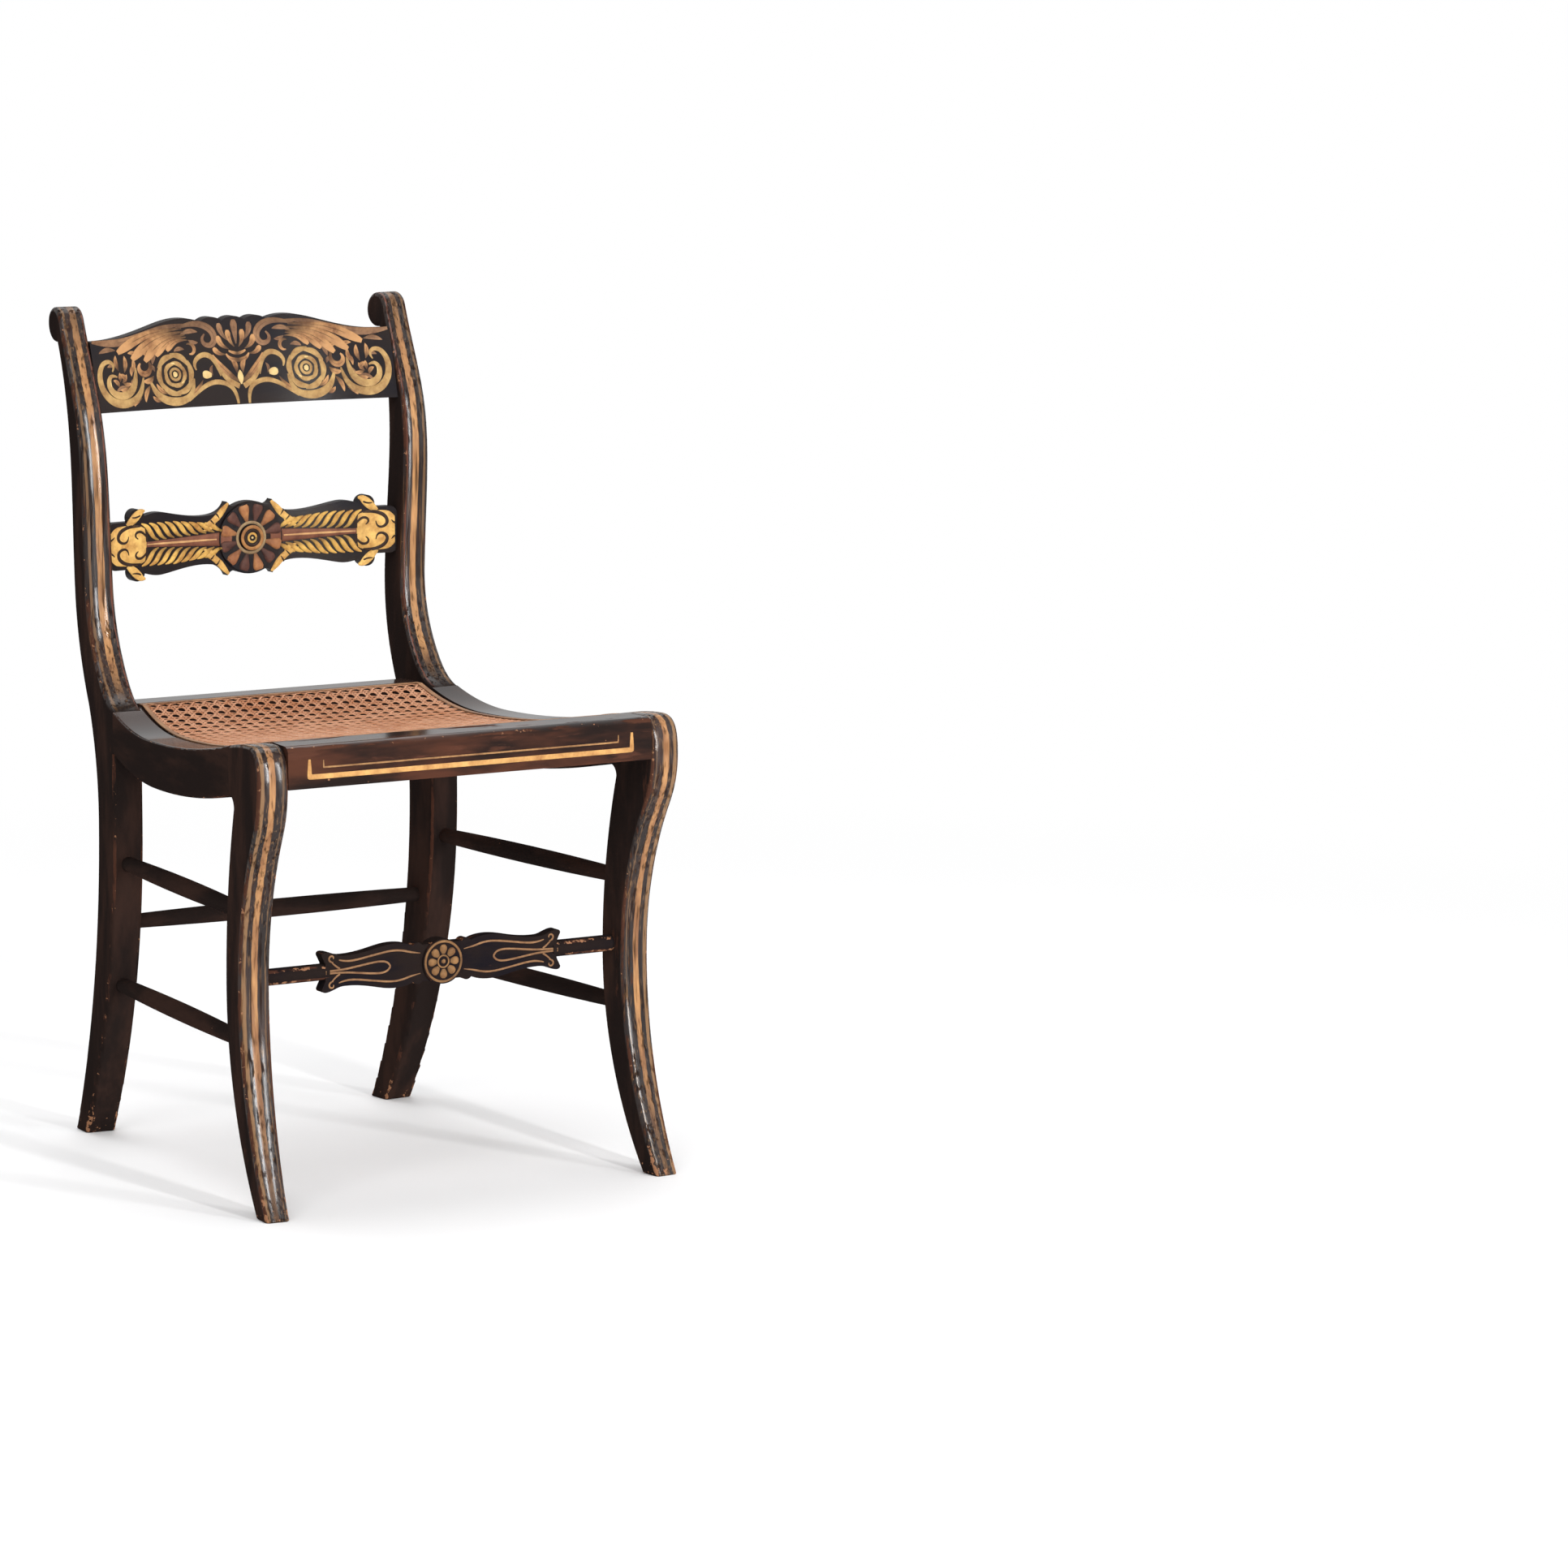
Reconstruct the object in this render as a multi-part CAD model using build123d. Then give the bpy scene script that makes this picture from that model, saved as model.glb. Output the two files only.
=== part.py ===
"""A painted klismos side chair with a caned seat: swept side frames, sabre legs, scroll-topped stiles.

Millimetres, +Z up, the chair faces -Y. Each side frame is drawn in its own upright plane, where `s`
runs from front to rear and `x` is across it, and is then turned by the splay of the seat.
"""

from build123d import *
import os
from math import cos, radians, sin, sqrt, tan

# side frames in plan
half_span = 190.6
side_splay = 5.2
frame_thickness = 32.0
front_foot_thickness = 25.0
stile_lean_in = 16.0
stile_lean_out = 11.0

# seat curve and side rails
seat_low = 427.5
seat_low_place = 31.0
seat_front_rise = 23.5
seat_rear_rise = 15.1
rail_low_place = 11.0
rail_depth_front = 49.5
rail_depth_middle = 46.0
rail_depth_rear = 42.0
lip_width = 14.0

# rear post: sabre leg below, stile above
post_front = 123.5
knee_set_back = 1.0
knee_height = 330.0
rear_foot_sweep = 91.5
rear_leg_depth = 45.5
rear_foot_depth = 30.5
stile_set_over_seat = 132.5
stile_front = 187.0
stile_depth = 34.0
stile_front_at_crest = 194.5
stile_depth_at_crest = 28.0
stile_bend_place = 161.5
stile_bend_over_seat = 48.0
scroll_place = 248.5
scroll_over_crest = 86.5
scroll_radius = 17.5
scroll_meets_front = 160.0
scroll_meets_rear = 250.0

# front leg
head_rear = -190.0
head_front = -265.0
head_rise = 5.5
head_roll = 24.0
brow_below_head = 37.5
waist_height = 215.0
waist_front = -211.5
waist_depth = 36.0
front_foot_sweep = 55.6
front_foot_depth = 27.0
brow_bend_share = 0.754
head_cove = 10.0

# seat rails that run across
rim_width = 40.0
front_rail_height = 41.0
front_rail_round = 9.0
rear_rail_height = 43.0
rear_rail_set_back = 10.5
rear_rim_width = 28.0

# cane and its binder
cane_thickness = 1.8
cane_drop = 0.7
cane_hole = 4.4
cane_pitch = 12.7
binder_width = 5.0
binder_thickness = 1.0
cane_openings_across = 12
cane_opening_width = 9.5
cane_opening_length = 33.0
cane_bar_width = 8.0

# crest
crest_over_seat = 305.0
crest_end_height = 71.0
crest_shoulder_height = 87.5
crest_shoulder_place = 62.0
crest_end_place = 140.0
crest_bead_pitch = 25.0
crest_bead_rise = 4.0
crest_thickness = 13.0
crest_set_back = 5.0
crest_sag = 16.0
crest_lean = 16.5
crest_end_lift = 3.0

# splat
splat_over_seat = 170.5
splat_disc = 37.0
splat_disc_visible = 27.0
splat_leaf_place = 25.5
splat_leaf = 37.5
splat_waist_place = 52.0
splat_waist = 24.5
splat_lobe_place = 98.0
splat_lobe = 31.0
splat_neck_place = 121.0
splat_neck = 29.0
splat_ear_place = 130.0
splat_ear = 36.5
splat_ear_end = 138.0
splat_cap = 24.0
splat_cap_round = 8.0
splat_thickness = 11.0
splat_set_back = 7.0
splat_sag = 13.0
splat_relief = 3.0
splat_boss = 13.0

# round stretchers
rung_end = 14.6
rung_middle = 18.4
upper_rung_height = 288.5
lower_rung_height = 162.5
rear_rung_height = 225.0

# front stretcher
front_rung_height = 224.0
front_rod = 16.5
board_half = 131.5
board_thickness = 13.0
board_middle = 18.0
board_bead_place = 22.0
board_bead_width = 10.0
board_bead = 20.5
board_lobe_place = 50.0
board_lobe = 21.8
board_neck_place = 106.0
board_neck = 14.8
board_ear_place = 121.0
board_ear = 18.5
board_notch = 4.0
front_disc = 22.0
front_disc_thickness = 18.0

# joints
rung_seat = 15.0
tenon_length = 22.0
tenon_thickness = 9.0
tenon_height = 25.0
board_tenon_length = 13.0
board_tenon_thickness = 6.0
crest_tenon_height = 44.0
splat_tenon_height = 24.0
fit = 0.12
mortise_spare = 1.0
board_overrun = 4.0
front_rod_clear = 1.5

# rounded edges
post_round = 4.0
foot_bevel = 1.2
rail_round = 2.5

# derived
half_thickness = frame_thickness / 2
turn = radians(side_splay)
head_height = seat_low + seat_front_rise + head_rise
brow_height = head_height - brow_below_head
stile_bend_height = seat_low + stile_bend_over_seat
stile_set_height = seat_low + stile_set_over_seat
splat_height = seat_low + splat_over_seat
crest_bottom = seat_low + crest_over_seat
scroll_height = crest_bottom + scroll_over_crest
chair_height = scroll_height + scroll_radius
roll_place = head_front + head_roll
front_rail_front = head_front * cos(turn)
front_rail_rear = front_rail_front + rim_width + lip_width
rear_rail_front = (post_front + rear_rail_set_back) * cos(turn)
rear_rail_rear = rear_rail_front + lip_width + rear_rim_width
front_hole_row = front_rail_rear - lip_width / 2
rear_hole_row = rear_rail_front + lip_width / 2
cane_underside = cane_drop + cane_thickness
far_past = 60.0
under_floor = 12.0  # how far a leg is drawn past the floor before its foot is cut flat


def arc_offset(run, sweep, at):
    """How far an arc that starts straight has bent away at a distance, given its run and sweep."""
    radius = (run * run + sweep * sweep) / (2 * sweep)
    return radius - sqrt(radius * radius - at * at)


def seat_top(s):
    """Height of the seat's rim, which dips behind the middle and levels out over the end rails."""
    if s < head_rear:
        from_level = max(s - roll_place, 0)
        drop = arc_offset(head_rear - roll_place, head_rise, from_level)
        return head_height - drop
    if s < seat_low_place:
        return seat_low + arc_offset(seat_low_place - head_rear, seat_front_rise, seat_low_place - s)
    bent = min(s, rear_rail_front) - seat_low_place
    return seat_low + arc_offset(post_front - seat_low_place, seat_rear_rise, bent)


def rail_bottom(s):
    low = seat_low - rail_depth_middle
    if s < rail_low_place:
        rise = seat_top(head_rear) - rail_depth_front - low
        return low + arc_offset(rail_low_place - head_rear, rise, rail_low_place - s)
    rise = seat_top(post_front) - rail_depth_rear - low
    return low + arc_offset(post_front - rail_low_place, rise, s - rail_low_place)


def rear_leg_front(z):
    return post_front + knee_set_back + arc_offset(knee_height, rear_foot_sweep, knee_height - z)


def rear_leg_rear(z):
    sweep = rear_foot_sweep + rear_foot_depth - rear_leg_depth
    return post_front + knee_set_back + rear_leg_depth + arc_offset(knee_height, sweep, knee_height - z)


def front_leg_front(z):
    """The front of the front leg up to its waist, and close above it."""
    if z < waist_height:
        return waist_front - arc_offset(waist_height, front_foot_sweep, waist_height - z)
    run = (brow_height - waist_height) * brow_bend_share
    return waist_front - arc_offset(run, (waist_front - head_front) * brow_bend_share, z - waist_height)


def front_leg_rear(z):
    waist = waist_front + waist_depth
    if z < waist_height:
        sweep = front_foot_sweep + waist_depth - front_foot_depth
        return waist - arc_offset(waist_height, sweep, waist_height - z)
    run = rail_bottom(head_rear) - head_cove - waist_height
    return waist - arc_offset(run, waist - head_rear + head_cove, z - waist_height)


def frame_x(s):
    """Distance from the chair's middle to the side frame's mid plane."""
    return half_span - s * sin(turn)


def frame_y(s):
    return s * cos(turn)


rear_rung_place = (rear_leg_front(rear_rung_height) + rear_leg_rear(rear_rung_height)) / 2
front_rung_place = (front_leg_front(front_rung_height) + front_leg_rear(front_rung_height)) / 2


def in_frame(shape):
    """Turn a shape drawn in the side frame's plane to its place on the right of the chair."""
    return Pos(half_span, 0, 0) * Rot(0, 0, side_splay) * shape


def on_left(shape):
    return mirror(shape, about=Plane.YZ)


def outline(*curves):
    return [edge for curve in curves for edge in curve.edges()]


def side_slab(edges, inner, outer):
    """A side-view outline, given as s and z, made solid from one place across the frame to another."""
    plane = Plane((inner, 0, 0), x_dir=(0, 1, 0), z_dir=(1, 0, 0))
    return extrude(plane * make_face(edges), amount=outer - inner)


def front_slab(edges, near, far):
    """A front-view outline, given as x and z, made solid from one depth to another."""
    plane = Plane((0, far, 0), x_dir=(1, 0, 0), z_dir=(0, -1, 0))
    return extrude(plane * make_face(edges), amount=far - near)


def block(x_range, y_range, z_range):
    ranges = (x_range, y_range, z_range)
    middle = [(low + high) / 2 for low, high in ranges]
    return Pos(*middle) * Box(*[high - low for low, high in ranges])


def round_running_edges(solid, radius, chosen):
    """Round the edges that run along a side frame's piece, where `chosen` accepts their middle."""
    edges = [edge for edge in solid.edges() if abs((edge % 0.5).X) < 0.5 and chosen(edge @ 0.5)]
    return fillet(edges, radius)


def cut_foot(leg):
    """Trim a leg flat at the floor and break the edges of its foot."""
    leg = split(leg, bisect_by=Plane.XY)
    return chamfer(leg.edges().filter_by_position(Axis.Z, -0.01, 0.01), foot_bevel)


# tenons: grown by the fit, each is also its mortise


def tenon_block(across, along, upright, thickness, grow):
    """A block about a line across its thickness, from one place along it to another, with a height."""
    start, end = along
    spare = mortise_spare if grow else 0
    tip = end + spare if end > start else end - spare
    low = upright[0] - upright[1] / 2 - grow
    high = upright[0] + upright[1] / 2 + grow
    width = (across - thickness / 2 - grow, across + thickness / 2 + grow)
    return block(width, (min(start, tip), max(start, tip)), (low, high))


def side_rail_tenon(shoulder, reach, grow):
    """A side rail's tenon in the frame's plane, rooted a little inside the rail."""
    upright = ((seat_top(shoulder) + rail_bottom(shoulder)) / 2, tenon_height)
    return tenon_block(0, (shoulder - reach / 4, shoulder + reach), upright, tenon_thickness, grow)


def cross_tenon(s, lean, upright, thickness, reach, grow):
    """A tenon that enters the right side frame from the chair's middle, on a face leaned outward."""
    shoulder = frame_x(s) - half_thickness + lean
    along = (shoulder - reach / 2, shoulder + reach)
    return Rot(0, 0, -90) * tenon_block(-frame_y(s), along, upright, thickness, grow)


def front_rail_tenon(grow):
    upright = (seat_top(roll_place) - front_rail_height / 2, tenon_height)
    return cross_tenon(head_front + rim_width / 2, 0, upright, tenon_thickness, rung_seat, grow)


def rear_rail_tenon(grow):
    place = post_front + tenon_length + tenon_thickness + rear_rail_set_back
    upright = (seat_top(post_front) - rear_rail_height / 2, tenon_height)
    return cross_tenon(place, 0, upright, tenon_thickness, rung_seat, grow)


def stile_inner_lean(z):
    """How far the stile's inner face has leaned away from the leg's, above the seat."""
    seat = seat_top(post_front)
    return stile_lean_in * (z - seat) / (chair_height - seat)


def crest_tenon(grow):
    middle = crest_bottom + crest_end_height / 2
    lean = stile_inner_lean(middle)
    s = stile_front_at_crest + crest_set_back + crest_thickness / 2
    upright = (0, crest_tenon_height)
    flat = cross_tenon(s, lean, upright, board_tenon_thickness, board_tenon_length, grow)
    back = crest_end_height / 2 * tan(radians(crest_lean))
    return Pos(0, frame_y(s) + back, middle) * Rot(-crest_lean, 0, 0) * Pos(0, -frame_y(s), 0) * flat


def splat_tenon(grow):
    s = stile_front + splat_set_back + splat_thickness / 2
    lean = stile_inner_lean(splat_height)
    upright = (splat_height, splat_tenon_height)
    return cross_tenon(s, lean, upright, board_tenon_thickness, board_tenon_length, grow)


# side frames


def rung_socket(s, z):
    """A blind socket for a round end that enters the right side frame from the middle of the chair."""
    shoulder = frame_x(s) - half_thickness
    length = 2 * rung_seat + mortise_spare
    start = Pos(shoulder + rung_seat + mortise_spare - length / 2, frame_y(s), z)
    return start * Rot(0, 90, 0) * Cylinder(rung_end / 2 + fit, length)


def side_rung_sockets(leg_face, direction):
    """The sockets of the upper and lower side stretchers in one leg, along the frame's plane."""
    sockets = []
    for height in (upper_rung_height, lower_rung_height):
        deep = leg_face(height) + direction * (rung_seat + mortise_spare)
        length = 2 * rung_seat
        middle = Pos(0, deep - direction * length / 2, height)
        sockets.append(middle * Rot(90, 0, 0) * Cylinder(rung_end / 2 + fit, length))
    return sockets


def rear_post_outline():
    foot_front = (rear_leg_front(-under_floor), -under_floor)
    foot_rear = (rear_leg_rear(-under_floor), -under_floor)
    knee_front = (rear_leg_front(knee_height), knee_height)
    knee_rear = (rear_leg_rear(knee_height), knee_height)
    under_rail = (knee_front[0], rail_bottom(post_front))
    joint_low = (post_front, rail_bottom(post_front))
    joint_high = (post_front, seat_top(post_front))
    bend = (stile_bend_place, stile_bend_height)
    set_front = (stile_front, stile_set_height)
    set_rear = (stile_front + stile_depth, stile_set_height)
    turn_rear = ((knee_rear[0] + set_rear[0]) / 2, (knee_height + stile_set_height) / 2)
    crest_front = (stile_front_at_crest, crest_bottom)
    crest_rear = (stile_front_at_crest + stile_depth_at_crest, crest_bottom)
    scroll_arc = scroll_meets_front + 360 - scroll_meets_rear
    scroll = CenterArc((scroll_place, scroll_height), scroll_radius, scroll_meets_rear, scroll_arc)
    on_scroll = radians(scroll_meets_front)
    rail_slope = 2 * (seat_top(post_front) - seat_low) / (post_front - seat_low_place)
    up = (0, 1)
    return outline(
        Line(foot_front, foot_rear),
        TangentArc(knee_rear, foot_rear, tangent=(0, -1)),
        TangentArc(knee_rear, turn_rear, tangent=up),
        TangentArc(set_rear, turn_rear, tangent=(0, -1)),
        Spline(set_rear, crest_rear, scroll @ 0, tangents=[up, (0.45, 1)]),
        scroll,
        Spline(set_front, crest_front, scroll @ 1, tangents=[up, (sin(on_scroll), -cos(on_scroll))]),
        Spline(joint_high, bend, set_front, tangents=[(1, rail_slope), up]),
        Polyline(joint_high, joint_low, under_rail, knee_front),
        TangentArc(knee_front, foot_front, tangent=(0, -1)),
    )


def rear_post_front_view():
    """Upright to the seat, then leaning outward to the scroll."""
    seat = seat_top(post_front)
    top = chair_height + far_past
    grow = (top - seat) / (chair_height - seat)
    inner_top = (-half_thickness + stile_lean_in * grow, top)
    outer_top = (half_thickness + stile_lean_out * grow, top)
    left = [(-half_thickness, -under_floor), (-half_thickness, seat), inner_top]
    right = [outer_top, (half_thickness, seat), (half_thickness, -under_floor)]
    return outline(Polyline(*left, *right, close=True))


def rear_post():
    slab = side_slab(rear_post_outline(), -far_past, far_past)
    post = slab & front_slab(rear_post_front_view(), 0, scroll_place + far_past)
    off_joint = post_front + knee_set_back / 2
    post = round_running_edges(post, post_round, lambda at: at.Z > 1 and at.Y > off_joint)
    post = cut_foot(post)
    post -= [side_rail_tenon(post_front, tenon_length, fit), *side_rung_sockets(rear_leg_front, 1)]
    mortises = [rear_rail_tenon(fit), splat_tenon(fit), crest_tenon(fit)]
    return in_frame(post) - [rung_socket(rear_rung_place, rear_rung_height), *mortises]


def front_leg_outline():
    foot_front = (front_leg_front(-under_floor), -under_floor)
    foot_rear = (front_leg_rear(-under_floor), -under_floor)
    waist_front_point = (waist_front, waist_height)
    waist_rear_point = (waist_front + waist_depth, waist_height)
    rail_low = rail_bottom(head_rear)
    rail_high = seat_top(head_rear)
    cove_start = (head_rear - head_cove, rail_low - head_cove)
    cove_middle = (head_rear - head_cove * cos(radians(45)), rail_low - head_cove * (1 - sin(radians(45))))
    joint_low = (head_rear, rail_low)
    joint_high = (head_rear, rail_high)
    roll_start = (roll_place, rail_high + head_rise)
    brow = (head_front, brow_height)
    bend_place = waist_front + brow_bend_share * (head_front - waist_front)
    bend = (bend_place, waist_height + brow_bend_share * (brow_height - waist_height))
    return outline(
        Line(foot_front, foot_rear),
        TangentArc(waist_rear_point, foot_rear, tangent=(0, -1)),
        TangentArc(waist_rear_point, cove_start, tangent=(0, 1)),
        ThreePointArc(cove_start, cove_middle, joint_low),
        Line(joint_low, joint_high),
        TangentArc(roll_start, joint_high, tangent=(1, 0)),
        Spline(roll_start, brow, tangents=[(-1, 0), (0, -1)]),
        TangentArc(brow, bend, tangent=(0, -1)),
        TangentArc(waist_front_point, bend, tangent=(0, 1)),
        TangentArc(waist_front_point, foot_front, tangent=(0, -1)),
    )


def front_leg_front_view():
    taper = (frame_thickness - front_foot_thickness) / 2
    half_end = half_thickness - arc_offset(waist_height, taper, waist_height + under_floor)
    low = -under_floor
    top = chair_height
    edges = [Line((-half_end, low), (half_end, low)), Line((-half_thickness, top), (half_thickness, top))]
    for side in (-1, 1):
        waist = (side * half_thickness, waist_height)
        edges.append(TangentArc(waist, (side * half_end, low), tangent=(0, -1)))
        edges.append(Line(waist, (side * half_thickness, top)))
    return outline(*edges)


def front_leg():
    slab = side_slab(front_leg_outline(), -far_past, far_past)
    leg = slab & front_slab(front_leg_front_view(), head_front - far_past, 0)
    leg = round_running_edges(leg, post_round, lambda point: point.Z > 1 and point.Y < head_rear - 1)
    leg = cut_foot(leg)
    leg -= [side_rail_tenon(head_rear, -tenon_length, fit), *side_rung_sockets(front_leg_rear, -1)]
    return in_frame(leg) - [rung_socket(front_rung_place, front_rung_height), front_rail_tenon(fit)]


# seat


def arcs_along(height, places):
    """Arcs through a height function's values, one between each place and the next."""
    arcs = []
    for start, end in zip(places, places[1:]):
        middle = (start + end) / 2
        arcs.append(ThreePointArc((start, height(start)), (middle, height(middle)), (end, height(end))))
    return arcs


def seat_band(front, rear, top_drop, bottom_drop, half_width):
    """A band across the chair that follows the seat's curve, between two drops below its rim."""
    places = [front, head_rear, seat_low_place, rear_rail_front]
    edges = []
    for drop in (top_drop, bottom_drop):
        edges += arcs_along(lambda s: seat_top(s) - drop, places)
        edges.append(Line((rear_rail_front, seat_top(rear) - drop), (rear, seat_top(rear) - drop)))
    for end in (front, rear):
        edges.append(Line((end, seat_top(end) - top_drop), (end, seat_top(end) - bottom_drop)))
    return side_slab(outline(*edges), -half_width, half_width)


def inside_frames(inset):
    """The room between the two side frames, this far inside their inner faces."""
    everywhere = (-chair_height, chair_height)
    room = in_frame(block((-chair_height, -half_thickness - inset), everywhere, everywhere))
    return room & on_left(room)


def seat_recess():
    """What the rebate for the cane takes out of the rails."""
    front = front_rail_rear - lip_width
    rear = rear_rail_front + lip_width
    band = seat_band(front, rear, -far_past, cane_underside + fit, half_span + far_past)
    return band & inside_frames(0)


def on_lip(y, share):
    """A point in plan over the right side rail's lip, a share of the way in from the side frame."""
    across = -half_thickness - lip_width * share
    s = (y - across * sin(turn)) / cos(turn)
    return Vector(half_span + across * cos(turn) - s * sin(turn), y)


def on_hole_line(y):
    return on_lip(y, 0.5)


def hole_places(start, end):
    run = end - start
    count = int(run.length / cane_pitch)
    return [start + run * (step / count) for step in range(count + 1)]


def cane_holes(places):
    hole = Pos(0, 0, seat_low) * Cylinder(cane_hole / 2, 2 * far_past)
    return [Pos(place) * hole for place in places]


def side_rail():
    front = roll_place
    rear = rear_rail_front + 1
    top = arcs_along(seat_top, [front, head_rear, seat_low_place, rear_rail_front])
    top.append(Line((rear_rail_front, seat_top(rear)), (rear, seat_top(rear))))
    bottom = arcs_along(rail_bottom, [front, rail_low_place, rear])
    ends = [Line((end, seat_top(end)), (end, rail_bottom(end))) for end in (front, rear)]
    rail = side_slab(outline(*top, *bottom, *ends), -half_thickness - lip_width, half_thickness)
    outer = [edge for edge in rail.edges() if (edge @ 0.5).X > 0 and abs((edge % 0.5).Y) > 0.5]
    rail = fillet(outer, rail_round)
    everywhere = (-chair_height, chair_height)
    rail -= block((-half_thickness, far_past), (-chair_height, head_rear), everywhere)
    rail -= block((-half_thickness, far_past), (post_front, chair_height), everywhere)
    rail = in_frame(rail)
    rail -= block(everywhere, (-chair_height, front_rail_rear), everywhere)
    rail -= block(everywhere, (rear_rail_front, chair_height), everywhere)
    holes = hole_places(on_hole_line(front_hole_row), on_hole_line(rear_hole_row))[1:-1]
    rail -= [seat_recess(), *cane_holes(holes)]
    tenons = [side_rail_tenon(head_rear, -tenon_length, 0), side_rail_tenon(post_front, tenon_length, 0)]
    return rail + [in_frame(piece) for piece in tenons]


def cross_rail(bar, hole_row, piece_tenon):
    """Fit a bar between the side frames: shoulders, rebate, cane holes and a tenon at each end."""
    corner = on_hole_line(hole_row)
    holes = cane_holes(hole_places(Vector(-corner.X, corner.Y), corner))
    bar = (bar & inside_frames(0)) - [seat_recess(), *holes]
    return bar + [piece_tenon, on_left(piece_tenon)]


def front_rail():
    top = seat_top(roll_place)
    across = (-half_span - far_past, half_span + far_past)
    bar = block(across, (front_rail_front, front_rail_rear), (top - front_rail_height, top))
    front_edges = bar.edges().filter_by(Axis.X).group_by(Axis.Y)[0].sort_by(Axis.Z)
    bar = fillet(front_edges[1], front_rail_round)
    return cross_rail(bar, front_hole_row, front_rail_tenon(0))


def rear_rail():
    top = seat_top(rear_rail_front)
    across = (-half_span - far_past, half_span + far_past)
    bar = block(across, (rear_rail_front, rear_rail_rear), (top - rear_rail_height, top))
    return cross_rail(bar, rear_hole_row, rear_rail_tenon(0))


def cane_openings():
    """A plain grid of narrow openings in place of the fine weave's own, clear of the rails' lips."""
    pitch = 2 * on_lip(front_rail_rear, 1).X / cane_openings_across
    row_pitch = cane_opening_length + cane_bar_width
    rows = int((rear_rail_front - front_rail_rear) / row_pitch)
    middle = (rear_rail_front + front_rail_rear) / 2
    opening = Pos(0, 0, seat_low) * Box(cane_opening_width, cane_opening_length, 2 * far_past)
    openings = []
    for row in range(rows):
        y = middle + (row - (rows - 1) / 2) * row_pitch
        reach = on_lip(y + cane_opening_length / 2, 1).X - cane_opening_width / 2
        places = [(column - (cane_openings_across - 1) / 2) * pitch for column in range(cane_openings_across)]
        openings += [Pos(x, y, 0) * opening for x in places if abs(x) < reach]
    return openings


def cane_panel():
    front = front_rail_rear - lip_width + fit
    rear = rear_rail_front + lip_width - fit
    band = seat_band(front, rear, cane_drop, cane_underside, half_span + far_past)
    return (band & inside_frames(fit)) - cane_openings()


def binder_band():
    front = front_hole_row - binder_width / 2
    rear = rear_hole_row + binder_width / 2
    return seat_band(front, rear, cane_drop - fit - binder_thickness, cane_drop - fit, half_span + far_past)


def end_binder(row):
    """The binder over the front or the rear row of holes."""
    corner = on_hole_line(row)
    reach = corner.X + binder_width / 2
    depth = (row - binder_width / 2, row + binder_width / 2)
    return binder_band() & block((-reach, reach), depth, (0, chair_height))


def side_binder():
    across = -half_thickness - lip_width / 2
    everywhere = (-chair_height, chair_height)
    strip = in_frame(block((across - binder_width / 2, across + binder_width / 2), everywhere, everywhere))
    gap = binder_width / 2 + fit
    between = block((0, chair_height), (front_hole_row + gap, rear_hole_row - gap), everywhere)
    return binder_band() & strip & between


# back


def bent_board(edges, front, thickness, sag, base, lean):
    """A board cut to a front-view outline and bent back in plan, running a little into the stiles."""
    half = frame_x(front) + board_overrun
    near = frame_y(front)
    lines = []
    for y in (near, near + thickness):
        lines.append(ThreePointArc((-half, y), (0, y + sag), (half, y)))
    for side in (-half, half):
        lines.append(Line((side, near), (side, near + thickness)))
    plan = Pos(0, 0, base) * make_face(outline(*lines))
    tilt = radians(lean)
    slab = extrude(plan, amount=2 * far_past, dir=(0, sin(tilt), cos(tilt)))
    return slab & front_slab(edges, 0, chair_height)


def between_stiles(board):
    """Cut a board's ends to the leaning inner faces of the stiles."""
    base = seat_top(post_front)
    face = [(-half_thickness, base), (-half_thickness + stile_lean_in, chair_height)]
    room = outline(Polyline((-chair_height, base), *face, (-chair_height, chair_height), close=True))
    room = in_frame(front_slab(room, 0, chair_height))
    return board & room & on_left(room)


def crest_outline():
    """Beads at the middle of the top, a shoulder either side, and ends that lift to the stiles."""
    top = crest_bottom + crest_shoulder_height
    valley = top - crest_bead_rise
    end = crest_bottom + crest_end_height
    half_bead = crest_bead_pitch / 2
    beads = []
    for middle in (-crest_bead_pitch, 0, crest_bead_pitch):
        beads.append(ThreePointArc((middle - half_bead, valley), (middle, top), (middle + half_bead, valley)))
    shoulder = (crest_shoulder_place, top)
    slope = ((crest_shoulder_place + crest_end_place) / 2, (top + end) / 2)
    corner = (half_span, end + crest_end_lift)
    side = [
        Spline((3 * half_bead, valley), shoulder, slope, (crest_end_place, end), corner),
        Polyline(corner, (half_span, crest_bottom), (0, crest_bottom)),
    ]
    return outline(*beads, *side, *[mirror(curve, about=Plane.YZ) for curve in side])


def crest_rail():
    front = stile_front_at_crest + crest_set_back
    board = bent_board(crest_outline(), front, crest_thickness, crest_sag, crest_bottom, crest_lean)
    return between_stiles(board) + [crest_tenon(0), on_left(crest_tenon(0))]


def all_quarters(curves, height):
    """Curves for the upper right quarter of an outline, repeated in all four about a height."""
    upper = curves + [mirror(curve, about=Plane.YZ) for curve in curves]
    whole = upper + [mirror(curve, about=Plane.XZ) for curve in upper]
    return outline(*[Pos(0, height, 0) * curve for curve in whole])


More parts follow.
